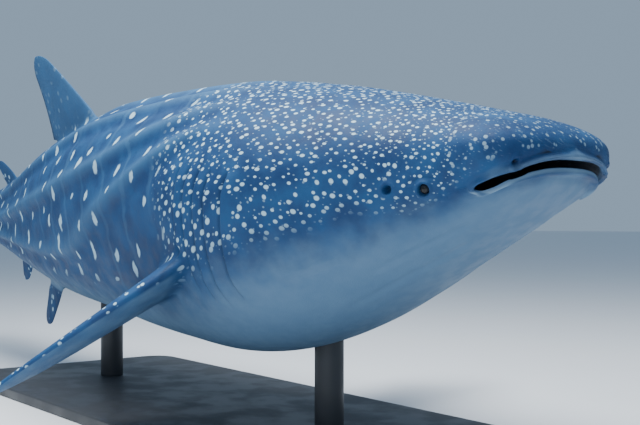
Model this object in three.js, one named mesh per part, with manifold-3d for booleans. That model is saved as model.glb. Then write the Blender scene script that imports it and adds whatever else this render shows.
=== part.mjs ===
// A whale shark at life size, held still over a plain display stand.
// Millimetres, +Z up. The animal is first shaped straight, with its snout tip at x = 0, its
// tail toward -X and its right side toward -Y. Then it is bent, pitched and banked into its pose.

import * as THREE from 'three';
import Module from 'manifold-3d';

const wasm = await Module();
wasm.setup();

// Driving dimensions. Stations and body sizes are shares of the total length.
const TOTAL_LENGTH = 7500;
const JOINT_GAP = 0.3;

const NOSE_UP = THREE.MathUtils.degToRad(7);
const RIGHT_SIDE_DOWN = THREE.MathUtils.degToRad(12.4);
const HEADING = THREE.MathUtils.degToRad(10);
const TURN = { from: 0.08, change: 0.4, front: 0.66, rear: 0.12 };
const ARCH = { from: 0.1, rise: 0.133 };
const HEAD_TWIST = { angle: 0.227, from: 0.05, to: 0.3 };

const GIRTH_POWER = 2.25;
const SNOUT_LENGTH = 0.03;
// Station, half width, height above the axis, depth below it.
const BODY_PROFILE = [
  [0.03, 0.0608, 0.0226, 0.0313],
  [0.05, 0.0618, 0.0297, 0.0414],
  [0.08, 0.0684, 0.04, 0.055],
  [0.12, 0.082, 0.0527, 0.072],
  [0.16, 0.0935, 0.0638, 0.0866],
  [0.2, 0.0908, 0.072, 0.096],
  [0.25, 0.083, 0.078, 0.098],
  [0.3, 0.0778, 0.0816, 0.092],
  [0.35, 0.0726, 0.0836, 0.0848],
  [0.4, 0.0674, 0.083, 0.0763],
  [0.5, 0.0573, 0.0696, 0.0644],
  [0.6, 0.0424, 0.0481, 0.047],
  [0.7, 0.028, 0.0305, 0.028],
  [0.785, 0.0205, 0.0222, 0.0182],
];

const HEAD_STATIONS = [0.00002, 0.0004, 0.0013, 0.003, 0.0055, 0.009, 0.0135, 0.019, 0.025, 0.032, 0.04,
  0.049, 0.059, 0.07, 0.082, 0.095, 0.109, 0.123];
const HEAD_END = 0.137;
const GILL_END = 0.246;
const TRUNK_MIDDLE = 0.41;
const TRUNK_END = 0.595;
const BODY_END = 0.785;
const TRUNK_STEP = 0.0235;

// Station and the girth angles, from the midline of the back, of the three ridges on each flank.
const RIDGE_ANGLES = [
  [0.0, 22, 45, 72],
  [0.12, 20, 40, 62],
  [0.19, 16, 33, 50],
  [0.235, 17, 39, 57],
  [0.275, 19, 45, 67],
  [0.33, 23, 56, 80],
  [0.4, 31, 64, 95],
  [0.5, 42, 71, 97],
  [0.62, 50, 76, 95],
  [0.785, 45, 68, 91],
];
const RIDGE_HEIGHT = 0.0026;
const RIDGE_HALF_ANGLE = 4.6;
const KEEL_HEIGHT = 0.0075;
const STEPS_BETWEEN_RIDGES = [4, 4, 4];
const STEPS_BELOW_RIDGES = 12;

const GILL_STATIONS = [0.166, 0.1815, 0.193, 0.2045, 0.2155];
const GILL_LOWEST_ANGLE = [120, 119, 116, 110, 102];
const GILL_HIGHEST_ANGLE = [84, 82, 79, 76, 73];
const GILL_FLAP_RISE = 0.0026;
const GILL_SLIT_DEPTH = 0.0045;
const GILL_SLANT = 0.028;

const MOUTH = {
  corner: 0.0295, halfWidth: 0.0535, height: -0.0088, droop: 0.0109, arch: 2.95, gap: 0.0034, depth: 0.066,
};
const LIP_RADIUS = 0.0021;
const JAW_HINGE = { top: 0.034, bottom: 0.1, depth: 0.065 };
const EYE = { station: 0.054, height: -0.0159, radius: 0.0029, sunk: 0.0016 };
const SPIRACLE = { station: 0.0735, height: -0.0125, radius: 0.0027 };
const NOSTRIL = { across: 0.0435, above: 0.0052, length: 0.0052, width: 0.0022 };
const BARBEL = { length: 0.0052, radius: 0.0011 };

const STAND = { length: 3700, width: 1500, thickness: 60, corner: 160, clearance: 90 };
const ROD_RADIUS = 70;
const ROD_STATIONS = [0.2, 0.5];
const ROD_SINK = 60;

const SKIN = { color: 0x41586b, roughness: 0.62, metalness: 0 };
const EYE_SURFACE = { color: 0x0c0f12, roughness: 0.15, metalness: 0 };
const STAND_SURFACE = { color: 0x2c2f33, roughness: 0.5, metalness: 0.1 };

const degrees = THREE.MathUtils.degToRad;
const clamp = THREE.MathUtils.clamp;
const smooth = THREE.MathUtils.smoothstep;

// A value of a table row, found by a smooth curve through the neighbouring rows.
function tableValue(table, station, column) {
  const last = table.length - 1;
  const s = clamp(station, table[0][0], table[last][0]);
  let i = 0;
  while (i < last - 1 && s > table[i + 1][0]) {
    i += 1;
  }
  const slope = (k) => {
    const before = table[Math.max(k - 1, 0)];
    const after = table[Math.min(k + 1, last)];
    return (after[column] - before[column]) / (after[0] - before[0]);
  };
  const span = table[i + 1][0] - table[i][0];
  const u = (s - table[i][0]) / span;
  const rise = table[i + 1][column] - table[i][column];
  const m0 = slope(i) * span;
  const m1 = slope(i + 1) * span;
  return table[i][column] + m0 * u + (3 * rise - 2 * m0 - m1) * u * u + (m0 + m1 - 2 * rise) * u ** 3;
}

// Half width, height and depth of the body at a station, with the snout rounded off in front.
function bodySizes(station) {
  const s = clamp(station, 0, BODY_END);
  const [width, top, bottom] = [1, 2, 3].map((column) => tableValue(BODY_PROFILE, s, column));
  if (s >= SNOUT_LENGTH) {
    return { width, top, bottom };
  }
  const reach = s / SNOUT_LENGTH;
  const blunt = (1 - (1 - reach) ** 2.5) ** 0.4;
  const thin = reach ** 0.5;
  return { width: width * blunt, top: top * thin, bottom: bottom * thin };
}

// Point of the plain body surface at a station and a girth angle, 0 on the back and 180 below.
function bodyPoint(station, angle) {
  const { width, top, bottom } = bodySizes(station);
  const power = 2 / GIRTH_POWER;
  const side = Math.sin(degrees(angle));
  const up = Math.cos(degrees(angle));
  const across = width * Math.sign(side) * Math.abs(side) ** power;
  const height = (up > 0 ? top : bottom) * Math.sign(up) * Math.abs(up) ** power;
  return new THREE.Vector3(-station, across, height);
}

function bell(value, width) {
  return Math.exp(-((value / width) ** 2));
}

// How far the ridges of the back and flanks, and the tail keel, stand out at a girth angle.
function ridgeRise(station, angle) {
  const onset = smooth(station, 0.165, 0.23);
  const fade = 1 - smooth(station, 0.6, 0.74);
  let rise = bell(angle, RIDGE_HALF_ANGLE) * onset * fade;
  for (const column of [1, 2, 3]) {
    const crest = tableValue(RIDGE_ANGLES, station, column);
    const strength = column === 3 ? 1 : fade;
    rise += bell(Math.abs(angle) - crest, RIDGE_HALF_ANGLE) * onset * strength;
  }
  const keelCrest = tableValue(RIDGE_ANGLES, station, 3);
  const keel = bell(Math.abs(angle) - keelCrest, 1.6 * RIDGE_HALF_ANGLE) * smooth(station, 0.58, 0.74);
  return RIDGE_HEIGHT * rise + KEEL_HEIGHT * keel;
}

// How far a gill flap stands out, and how deep the slit behind it is, at a station and angle.
function gillRise(station, angle) {
  let rise = 0;
  GILL_STATIONS.forEach((slit, i) => {
    const turn = Math.abs(angle);
    const window = smooth(turn, GILL_HIGHEST_ANGLE[i] - 8, GILL_HIGHEST_ANGLE[i] + 4)
      * (1 - smooth(turn, GILL_LOWEST_ANGLE[i] - 6, GILL_LOWEST_ANGLE[i] + 6));
    const along = station - slit;
    if (along > -0.0125 && along < -0.0004) {
      rise += GILL_FLAP_RISE * window * (along + 0.0125) / 0.0121;
    } else if (along >= -0.0004 && along < 0.004) {
      rise -= GILL_SLIT_DEPTH * window * (1 - (along + 0.0004) / 0.0044);
    }
  });
  return rise;
}

// Gill slits lean back toward the belly, so the rings between the head and the trunk lean too.
function leanBack(station, angle) {
  const window = smooth(station, HEAD_END, 0.163) * (1 - smooth(station, 0.216, GILL_END));
  return -GILL_SLANT * window * Math.cos(degrees(angle)) * Math.sin(degrees(angle)) ** 2;
}

// Girth angles of one ring, from the back down the left flank and up the right one.
function ringAngles(station) {
  const crests = [0, 1, 2, 3].map((column) => (column ? tableValue(RIDGE_ANGLES, station, column) : 0));
  const half = [];
  STEPS_BETWEEN_RIDGES.forEach((steps, i) => {
    for (let k = 0; k < steps; k += 1) {
      half.push(crests[i] + (crests[i + 1] - crests[i]) * k / steps);
    }
  });
  for (let k = 0; k <= STEPS_BELOW_RIDGES; k += 1) {
    half.push(crests[3] + (180 - crests[3]) * k / STEPS_BELOW_RIDGES);
  }
  const mirrored = half.slice(1, -1).reverse().map((angle) => -angle);
  return half.concat(mirrored);
}

// The line of the animal's axis: heading and place at each station, summed in short steps.
const AXIS_STEP = 0.002;
const AXIS = [{ turn: 0, x: 0, y: 0 }];
for (let s = AXIS_STEP; s < 1.1; s += AXIS_STEP) {
  const previous = AXIS[AXIS.length - 1];
  const middle = s - AXIS_STEP / 2;
  let bend = 0;
  if (middle > TURN.from) {
    bend = middle < TURN.change ? TURN.front : TURN.rear;
  }
  const turn = previous.turn + bend * AXIS_STEP;
  AXIS.push({
    turn,
    x: previous.x - Math.cos(turn) * AXIS_STEP,
    y: previous.y + Math.sin(turn) * AXIS_STEP,
  });
}

const ATTITUDE = new THREE.Matrix4()
  .makeRotationZ(HEADING)
  .multiply(new THREE.Matrix4().makeRotationY(-NOSE_UP))
  .multiply(new THREE.Matrix4().makeRotationX(RIGHT_SIDE_DOWN));

// Takes a point of the straight animal, in shares of its length, to millimetres in its pose.
function pose(point) {
  const station = -point.x;
  const place = point.clone();
  const { angle, from, to } = HEAD_TWIST;
  const twist = angle * (1 - clamp((station - from) / (to - from), 0, 1));
  place.applyAxisAngle(new THREE.Vector3(1, 0, 0), -twist);
  if (station > 0) {
    const index = Math.min(station / AXIS_STEP, AXIS.length - 1.001);
    const low = AXIS[Math.floor(index)];
    const high = AXIS[Math.floor(index) + 1];
    const part = index - Math.floor(index);
    const turn = low.turn + (high.turn - low.turn) * part;
    const across = place.y;
    place.x = low.x + (high.x - low.x) * part + across * Math.sin(turn);
    place.y = low.y + (high.y - low.y) * part + across * Math.cos(turn);
    const behind = Math.max(0, station - ARCH.from);
    place.z += ARCH.rise * behind * behind / 2;
  }
  return place.applyMatrix4(ATTITUDE).multiplyScalar(TOTAL_LENGTH);
}

// A closed solid through loops of equally many points, with a flat cap at each end.
function loftSolid(loops) {
  const count = loops[0].length;
  const points = loops.flat();
  const faces = [];
  for (let i = 0; i < loops.length - 1; i += 1) {
    for (let k = 0; k < count; k += 1) {
      const a = i * count + k;
      const b = i * count + (k + 1) % count;
      faces.push(a, b, b + count, a, b + count, a + count);
    }
  }
  const capAt = (start, flipped) => {
    const centre = new THREE.Vector3();
    for (let k = 0; k < count; k += 1) {
      centre.addScaledVector(points[start + k], 1 / count);
    }
    const hub = points.push(centre) - 1;
    for (let k = 0; k < count; k += 1) {
      const a = start + k;
      const b = start + (k + 1) % count;
      faces.push(...(flipped ? [hub, b, a] : [hub, a, b]));
    }
  };
  capAt(0, true);
  capAt((loops.length - 1) * count, false);
  return solidFrom(points, faces);
}

// Makes a solid of points and faces, turned so that its faces point out.
function solidFrom(points, faces) {
  let volume = 0;
  for (let f = 0; f < faces.length; f += 3) {
    const [a, b, c] = [points[faces[f]], points[faces[f + 1]], points[faces[f + 2]]];
    volume += a.dot(b.clone().cross(c));
  }
  const turned = [];
  for (let f = 0; f < faces.length; f += 3) {
    turned.push(faces[f], ...(volume > 0 ? [faces[f + 1], faces[f + 2]] : [faces[f + 2], faces[f + 1]]));
  }
  return new wasm.Manifold(new wasm.Mesh({
    numProp: 3,
    vertProperties: new Float32Array(points.flatMap((point) => point.toArray())),
    triVerts: new Uint32Array(turned),
  }));
}

// A solid from one of the library's closed geometries, placed by a matrix.
function solidFromGeometry(geometry, matrix) {
  const source = geometry.index ? geometry : null;
  const position = geometry.getAttribute('position');
  const points = [];
  const known = new Map();
  const numbers = [];
  for (let i = 0; i < position.count; i += 1) {
    const point = new THREE.Vector3().fromBufferAttribute(position, i);
    const key = point.toArray().map((value) => Math.round(value * 1e4)).join();
    if (!known.has(key)) {
      known.set(key, points.push(point.applyMatrix4(matrix)) - 1);
    }
    numbers.push(known.get(key));
  }
  const corners = source ? Array.from(source.index.array, (i) => numbers[i]) : numbers;
  const faces = [];
  for (let f = 0; f < corners.length; f += 3) {
    const [a, b, c] = corners.slice(f, f + 3);
    if (a !== b && b !== c && c !== a) {
      faces.push(a, b, c);
    }
  }
  return solidFrom(points, faces);
}

// Only the largest closed surface of a solid, as drawable geometry.
function geometryOf(solid) {
  const pieces = solid.decompose();
  pieces.sort((a, b) => b.volume() - a.volume());
  const mesh = pieces[0].getMesh();
  const geometry = new THREE.BufferGeometry();
  geometry.setAttribute('position', new THREE.BufferAttribute(new Float32Array(mesh.vertProperties), 3));
  geometry.setIndex(new THREE.BufferAttribute(new Uint32Array(mesh.triVerts), 1));
  geometry.computeVertexNormals();
  return geometry;
}

// One ring of the body's skin in its pose. A small growth leaves room beside what is cut by it.
function bodyRing(station, growth) {
  return ringAngles(station).map((angle) => {
    const leaned = station + leanBack(station, angle);
    const point = bodyPoint(leaned, angle);
    const rise = ridgeRise(leaned, angle) + gillRise(station, angle) + growth / TOTAL_LENGTH;
    point.y += rise * Math.sin(degrees(angle));
    point.z += rise * Math.cos(degrees(angle));
    return pose(point);
  });
}

function trunkStations(from, to) {
  const steps = Math.max(2, Math.round((to - from) / TRUNK_STEP));
  return Array.from({ length: steps + 1 }, (_, i) => from + (to - from) * i / steps);
}

function gillStations() {
  const stations = [HEAD_END, 0.148];
  for (const slit of GILL_STATIONS) {
    stations.push(slit - 0.006, slit - 0.0006, slit + 0.0004, slit + 0.0042);
  }
  return stations.concat([0.231, GILL_END]);
}

const gapShare = JOINT_GAP / TOTAL_LENGTH;
const SECTIONS = {
  head: HEAD_STATIONS.concat([HEAD_END - gapShare]),
  gill_region: gillStations(),
  trunk_front: trunkStations(GILL_END + gapShare, TRUNK_MIDDLE),
  trunk_rear: trunkStations(TRUNK_MIDDLE + gapShare, TRUNK_END),
  tail_stock: trunkStations(TRUNK_END + gapShare, BODY_END),
};

function bodySection(stations, growth = 0) {
  return loftSolid(stations.map((station) => bodyRing(station, growth)));
}

const bodyWithRoom = bodySection([...new Set(Object.values(SECTIONS).flat())].sort((a, b) => a - b), JOINT_GAP);

// Height of the line of the mouth at a place across the snout, lower toward its corners.
function mouthHeight(across) {
  return MOUTH.height - MOUTH.droop * Math.min(1.4, Math.abs(across) / MOUTH.halfWidth) ** MOUTH.arch;
}

function mouthGap(across) {
  const reach = Math.abs(across) / MOUTH.halfWidth;
  return MOUTH.gap * Math.sqrt(Math.max(0.02, 1 - reach ** 8)) / 2;
}

// The open slit of the mouth, wide and low, which reaches back between the jaws.
function mouthSolid() {
  const loops = [];
  const columns = 24;
  for (let i = 0; i <= columns; i += 1) {
    const across = (2 * i / columns - 1) * 1.3 * MOUTH.halfWidth;
    const middle = mouthHeight(across);
    const half = mouthGap(across);
    const inner = 1 - smooth(Math.abs(across), 0.7 * MOUTH.halfWidth, 0.92 * MOUTH.halfWidth);
    const back = -MOUTH.corner - (MOUTH.depth - MOUTH.corner) * inner;
    const hollow = half + 0.006 * inner;
    const outline = [
      [back, middle + 0.0004],
      [back * 0.75, middle + hollow],
      [-0.012, middle + half + 0.25 * (hollow - half)],
      [0.02, middle + half],
      [0.02, middle - half],
      [-0.012, middle - half - 0.35 * (hollow - half)],
      [back * 0.75, middle - 1.3 * hollow],
      [back, middle - 0.0004],
    ];
    loops.push(outline.map(([x, z]) => pose(new THREE.Vector3(x, across, z))));
  }
  return loftSolid(loops);
}

// The space that the lower jaw fills: under the line of the mouth and before a slanting plane.
function jawSpace(growth) {
  const loops = [];
  const columns = 24;
  const room = growth / TOTAL_LENGTH;
  for (let i = 0; i <= columns; i += 1) {
    const across = (2 * i / columns - 1) * 1.5 * MOUTH.halfWidth;
    const middle = mouthHeight(across);
    const outline = [
      [-JAW_HINGE.top - room, middle],
      [0.05, middle],
      [0.05, -0.12],
      [-JAW_HINGE.bottom - room, middle - JAW_HINGE.depth],
    ];
    loops.push(outline.map(([x, z]) => pose(new THREE.Vector3(x, across, z))));
  }
  return loftSolid(loops);
}

// Station at which the plain body reaches a place across it at the height of the mouth.
function stationAcross(across, height) {
  let low = 0.00002;
  let high = 0.08;
  for (let i = 0; i < 40; i += 1) {
    const middle = (low + high) / 2;
    const { width, top, bottom } = bodySizes(middle);
    const z = height / (height > 0 ? top : bottom);
    const inside = Math.abs(across / width) ** GIRTH_POWER + Math.abs(z) ** GIRTH_POWER < 1;
    if (inside) {
      high = middle;
    } else {
      low = middle;
    }
  }
  return (low + high) / 2;
}

// A rounded lip along the mouth, above the slit for side 1 and below it for side -1.
function lipSolid(side) {
  const steps = 28;
  const sides = 6;
  const loops = [];
  for (let i = 0; i <= steps; i += 1) {
    const sweep = (2 * i / steps - 1) * 0.5 * Math.PI;
    const across = MOUTH.halfWidth * 0.985 * Math.sin(sweep);
    const height = mouthHeight(across) + side * (mouthGap(across) + 0.62 * LIP_RADIUS);
    const station = stationAcross(across, height);
    const radius = LIP_RADIUS * (0.45 + 0.55 * Math.cos(sweep) ** 0.5);
    const outward = new THREE.Vector2(Math.cos(sweep), Math.sin(sweep));
    const loop = [];
    for (let k = 0; k < sides; k += 1) {
      const turn = 2 * Math.PI * k / sides;
      const out = radius * Math.cos(turn) - 0.35 * radius;
      const up = radius * Math.sin(turn);
      loop.push(pose(new THREE.Vector3(-station + outward.x * out, across + outward.y * out, height + up)));
    }
    loops.push(loop);
  }
  return loftSolid(loops);
}

// A frame on the flank: its place, with z out of the skin, x to the front and y along the skin.
function skinFrame(station, height, flank) {
  const { width, top, bottom } = bodySizes(station);
  const reach = Math.abs(height / (height > 0 ? top : bottom)) ** GIRTH_POWER;
  const across = flank * width * (1 - reach) ** (1 / GIRTH_POWER);
  const place = new THREE.Vector3(-station, across, height);
  const ahead = bodySizes(station - 0.004);
  const slope = (width - ahead.width) / 0.004;
  const deep = height > 0 ? top : bottom;
  const upward = Math.sign(height) * Math.abs(height / deep) ** (GIRTH_POWER - 1) * width / deep;
  const out = new THREE.Vector3(slope, flank, upward).normalize();
  const front = new THREE.Vector3(1, 0, 0).addScaledVector(out, -out.x).normalize();
  const along = new THREE.Vector3().crossVectors(out, front);
  const matrix = new THREE.Matrix4().makeBasis(front, along, out);
  matrix.setPosition(place);
  return matrix;
}

// From shares of the length near the head, which is not bent, to millimetres in the pose.
const HEAD_POSE = ATTITUDE.clone()
  .multiply(new THREE.Matrix4().makeRotationX(-HEAD_TWIST.angle))
  .multiply(new THREE.Matrix4().makeScale(TOTAL_LENGTH, TOTAL_LENGTH, TOTAL_LENGTH));

function onSkin(frame, offset, scale) {
  return HEAD_POSE.clone()
    .multiply(frame)
    .multiply(new THREE.Matrix4().makeTranslation(0, 0, offset))
    .multiply(new THREE.Matrix4().makeScale(...scale));
}

function eyeBall(flank, growth) {
  const radius = EYE.radius + growth / TOTAL_LENGTH;
  const frame = skinFrame(EYE.station, EYE.height, flank);
  return solidFromGeometry(new THREE.SphereGeometry(1, 16, 10), onSkin(frame, -EYE.sunk, [radius, radius, radius]));
}

// The raised rim of skin round an eye.
function eyeRim(flank) {
  const frame = skinFrame(EYE.station, EYE.height, flank);
  const size = EYE.radius;
  return solidFromGeometry(new THREE.TorusGeometry(1.08, 0.36, 6, 16), onSkin(frame, -0.0006, [size, size, size]));
}

function spiraclePit(flank) {
  const frame = skinFrame(SPIRACLE.station, SPIRACLE.height, flank);
  const size = SPIRACLE.radius;
  return solidFromGeometry(new THREE.SphereGeometry(1, 14, 10), onSkin(frame, -0.0004, [size, size * 1.15, size * 1.4]));
}

// Nostrils lie in front, over the upper lip, each with a short barbel on its inner side.
function nostrilFrame(flank, shift) {
  const across = flank * (NOSTRIL.across + shift);
  const height = mouthHeight(across) + NOSTRIL.above;
  const station = stationAcross(across, height);
  const matrix = new THREE.Matrix4().makeRotationZ(flank * 0.75);
  matrix.setPosition(-station, across, height);
  return matrix;
}

function nostrilPit(flank) {
  const scale = new THREE.Matrix4().makeScale(NOSTRIL.width * 1.6, NOSTRIL.width, NOSTRIL.length / 2);
  const matrix = HEAD_POSE.clone().multiply(nostrilFrame(flank, 0)).multiply(scale);
  return solidFromGeometry(new THREE.SphereGeometry(1, 12, 10), matrix);
}

function barbel(flank) {
  const matrix = HEAD_POSE.clone()
    .multiply(nostrilFrame(flank, -NOSTRIL.width * 1.2))
    .multiply(new THREE.Matrix4().makeTranslation(0.0004, 0, -0.12 * BARBEL.length))
    .multiply(new THREE.Matrix4().makeRotationX(-Math.PI / 2))
    .multiply(new THREE.Matrix4().makeScale(BARBEL.radius, BARBEL.length, BARBEL.radius));
  return solidFromGeometry(new THREE.CylinderGeometry(0.4, 1, 1, 8, 1), matrix);
}

// A point on a curve through a start, a bow point and an end.
function bow(curve, v) {
  const [a, b, c] = curve;
  return a.clone().multiplyScalar((1 - v) ** 2)
    .addScaledVector(b, 2 * v * (1 - v))
    .addScaledVector(c, v * v);
}

// A fin between a leading and a trailing edge. Its section is round in front and thin behind.
function finSolid({ leading, trailing, root, tip, tipRound = 0.16, sink = 0.16, steps = 11 }) {
  const chordSteps = 7;
  const loops = [];
  for (let i = 0; i <= steps; i += 1) {
    const even = Math.min(1, -sink + (1 + sink) * i / steps);
    const v = even < 0 ? even : 1 - (1 - even) ** 1.25;
    const lead = bow(leading, v);
    const trail = bow(trailing, v);
    const next = bow(leading, v + 0.01).add(bow(trailing, v + 0.01));
    const before = bow(leading, v - 0.01).add(bow(trailing, v - 0.01));
    const chord = trail.clone().sub(lead);
    const normal = new THREE.Vector3().crossVectors(next.sub(before), chord).normalize();
    const roundOff = v > 1 - tipRound ? Math.sqrt(Math.max(0.004, 1 - ((v - 1 + tipRound) / tipRound) ** 2)) : 1;
    const middle = lead.clone().addScaledVector(chord, 0.45);
    const thickness = (root + (tip - root) * clamp(v, 0, 1) ** 0.7) / TOTAL_LENGTH / 2;
    const loop = [];
    const place = (share, side) => {
      const point = middle.clone().addScaledVector(chord, (share - 0.45) * roundOff);
      const body = 2.6 * (Math.sqrt(share) * 0.62 - share * 0.27 - share * share * 0.32);
      const half = Math.max(thickness * body * roundOff ** 0.5, 3 / TOTAL_LENGTH);
      return pose(point.addScaledVector(normal, side * half));
    };
    loop.push(pose(middle.clone().addScaledVector(chord, -0.45 * roundOff)));
    for (let k = 1; k <= chordSteps; k += 1) {
      loop.push(place((k / chordSteps) ** 1.7, 1));
    }
    for (let k = chordSteps; k >= 1; k -= 1) {
      loop.push(place((k / chordSteps) ** 1.7, -1));
    }
    loops.push(loop);
  }
  return loftSolid(loops);
}

const at = (station, across, height) => new THREE.Vector3(-station, across, height);

function pectoralFin(flank) {
  return finSolid({
    leading: [at(0.214, 0.083 * flank, -0.0235), at(0.243, 0.151 * flank, -0.051), at(0.322, 0.208 * flank, -0.08)],
    trailing: [at(0.294, 0.066 * flank, -0.048), at(0.305, 0.12 * flank, -0.067), at(0.338, 0.2 * flank, -0.083)],
    root: 235,
    tip: 36,
    sink: 0.3,
    steps: 13,
  });
}

function pelvicFin(flank) {
  return finSolid({
    leading: [at(0.52, 0.03 * flank, -0.047), at(0.532, 0.038 * flank, -0.07), at(0.556, 0.04 * flank, -0.088)],
    trailing: [at(0.567, 0.024 * flank, -0.043), at(0.566, 0.029 * flank, -0.058), at(0.577, 0.036 * flank, -0.084)],
    root: 60,
    tip: 14,
    sink: 0.5,
    steps: 8,
  });
}

function firstDorsalFin() {
  return finSolid({
    leading: [at(0.432, 0, 0.074), at(0.478, 0, 0.117), at(0.522, 0, 0.147)],
    trailing: [at(0.545, 0, 0.054), at(0.533, 0, 0.094), at(0.549, 0, 0.141)],
    root: 110,
    tip: 22,
    sink: 0.3,
  });
}

function secondDorsalFin() {
  return finSolid({
    leading: [at(0.652, 0, 0.034), at(0.67, 0, 0.052), at(0.696, 0, 0.06)],
    trailing: [at(0.698, 0, 0.025), at(0.692, 0, 0.038), at(0.708, 0, 0.056)],
    root: 50,
    tip: 14,
    sink: 0.45,
    steps: 8,
  });
}

function analFin() {
  return finSolid({
    leading: [at(0.664, 0, -0.03), at(0.681, 0, -0.053), at(0.708, 0, -0.066)],
    trailing: [at(0.705, 0, -0.022), at(0.701, 0, -0.039), at(0.718, 0, -0.062)],
    root: 46,
    tip: 14,
    sink: 0.45,
    steps: 8,
  });
}

// The tapering end of the body that rises into the upper lobe of the tail fin.
function tailCore() {
  const steps = 6;
  const loops = [];
  for (let i = 0; i <= steps; i += 1) {
    const share = i / steps;
    const fall = 1 - 0.88 * share;
    const lift = 0.052 * share ** 1.4;
    const station = BODY_END + gapShare + 0.1 * share;
    loops.push(ringAngles(BODY_END).map((angle) => {
      const point = bodyPoint(BODY_END, angle);
      const rise = ridgeRise(BODY_END, angle) * (1 - share) ** 0.6;
      const across = (point.y + rise * Math.sin(degrees(angle))) * fall;
      const height = (point.z + rise * Math.cos(degrees(angle))) * fall + lift;
      return pose(at(station, across, height));
    }));
  }
  return loftSolid(loops);
}

function tailFin() {
  const upper = finSolid({
    leading: [at(0.79, 0, 0.012), at(0.87, 0, 0.115), at(0.982, 0, 0.2)],
    trailing: [at(0.885, 0, -0.004), at(0.898, 0, 0.06), at(0.998, 0, 0.192)],
    root: 120,
    tip: 16,
    sink: 0.04,
    steps: 13,
  });
  const lower = finSolid({
    leading: [at(0.79, 0, -0.008), at(0.818, 0, -0.075), at(0.872, 0, -0.132)],
    trailing: [at(0.885, 0, 0.006), at(0.862, 0, -0.045), at(0.885, 0, -0.126)],
    root: 120,
    tip: 16,
    sink: 0.04,
    steps: 10,
  });
  return tailCore().add(upper).add(lower).subtract(bodyWithRoom);
}

// Every piece of the animal as a solid in its pose.
function headPieces() {
  const mouth = mouthSolid();
  let head = bodySection(SECTIONS.head).add(lipSolid(1)).add(lipSolid(-1));
  for (const flank of [1, -1]) {
    head = head.add(eyeRim(flank)).subtract(eyeBall(flank, JOINT_GAP)).subtract(spiraclePit(flank));
    head = head.subtract(nostrilPit(flank)).add(barbel(flank));
  }
  const opened = head.subtract(mouth);
  return { head: opened.subtract(jawSpace(JOINT_GAP)), lower_jaw: opened.intersect(jawSpace(0)) };
}

const solids = headPieces();
for (const name of ['gill_region', 'trunk_front', 'trunk_rear', 'tail_stock']) {
  solids[name] = bodySection(SECTIONS[name]);
}
for (const [side, flank] of [['left', 1], ['right', -1]]) {
  solids[`pectoral_fin_${side}`] = pectoralFin(flank).subtract(bodyWithRoom);
  solids[`pelvic_fin_${side}`] = pelvicFin(flank).subtract(bodyWithRoom);
  solids[`eye_${side}`] = eyeBall(flank, 0);
}
solids.first_dorsal_fin = firstDorsalFin().subtract(bodyWithRoom);
solids.second_dorsal_fin = secondDorsalFin().subtract(bodyWithRoom);
solids.anal_fin = analFin().subtract(bodyWithRoom);
solids.tail_fin = tailFin();

const animal = new THREE.Group();
for (const [name, solid] of Object.entries(solids)) {
  const surface = name.startsWith('eye') ? EYE_SURFACE : SKIN;
  const mesh = new THREE.Mesh(geometryOf(solid), new THREE.MeshStandardMaterial(surface));
  mesh.name = name;
  animal.add(mesh);
}

// The stand lies just below the lowest fin, with its rods up to the belly.
const animalBox = new THREE.Box3().setFromObject(animal);
const standTop = animalBox.min.z - STAND.clearance;
const rodFeet = ROD_STATIONS.map((station) => pose(bodyPoint(station, 180)));
const standCentre = rodFeet[0].clone().add(rodFeet[1]).multiplyScalar(0.5);

function standBase() {
  const x = STAND.length / 2 - STAND.corner;
  const y = STAND.width / 2 - STAND.corner;
  const outline = new THREE.Shape();
  outline.absarc(x, y, STAND.corner, 0, Math.PI / 2);
  outline.absarc(-x, y, STAND.corner, Math.PI / 2, Math.PI);
  outline.absarc(-x, -y, STAND.corner, Math.PI, 1.5 * Math.PI);
  outline.absarc(x, -y, STAND.corner, 1.5 * Math.PI, 2 * Math.PI);
  const geometry = new THREE.ExtrudeGeometry(outline, {
    depth: STAND.thickness, bevelEnabled: false, curveSegments: 8,
  });
  geometry.translate(standCentre.x, standCentre.y, standTop - STAND.thickness);
  return geometryOf(solidFromGeometry(geometry, new THREE.Matrix4()));
}

function standRod(foot) {
  const bottom = standTop + JOINT_GAP;
  const height = foot.z + ROD_SINK - bottom;
  const geometry = new THREE.CylinderGeometry(ROD_RADIUS, ROD_RADIUS, height, 28);
  const place = new THREE.Matrix4()
    .makeTranslation(foot.x, foot.y, bottom + height / 2)
    .multiply(new THREE.Matrix4().makeRotationX(Math.PI / 2));
  return geometryOf(solidFromGeometry(geometry, place).subtract(bodyWithRoom));
}

const standGeometries = {
  stand_base: standBase(),
  stand_rod_front: standRod(rodFeet[0]),
  stand_rod_rear: standRod(rodFeet[1]),
};
for (const [name, geometry] of Object.entries(standGeometries)) {
  const mesh = new THREE.Mesh(geometry, new THREE.MeshStandardMaterial(STAND_SURFACE));
  mesh.name = name;
  animal.add(mesh);
}

// The origin is on the floor, under the middle of the whole.
const wholeBox = new THREE.Box3().setFromObject(animal);
const middle = wholeBox.getCenter(new THREE.Vector3());
animal.position.set(-middle.x, -middle.y, -wholeBox.min.z);

export default animal;
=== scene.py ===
import math

import bmesh
import bpy
import numpy as np
from bpy.props import FloatProperty, FloatVectorProperty, IntProperty, PointerProperty
from mathutils import Matrix, Vector
from mathutils.kdtree import KDTree


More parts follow.
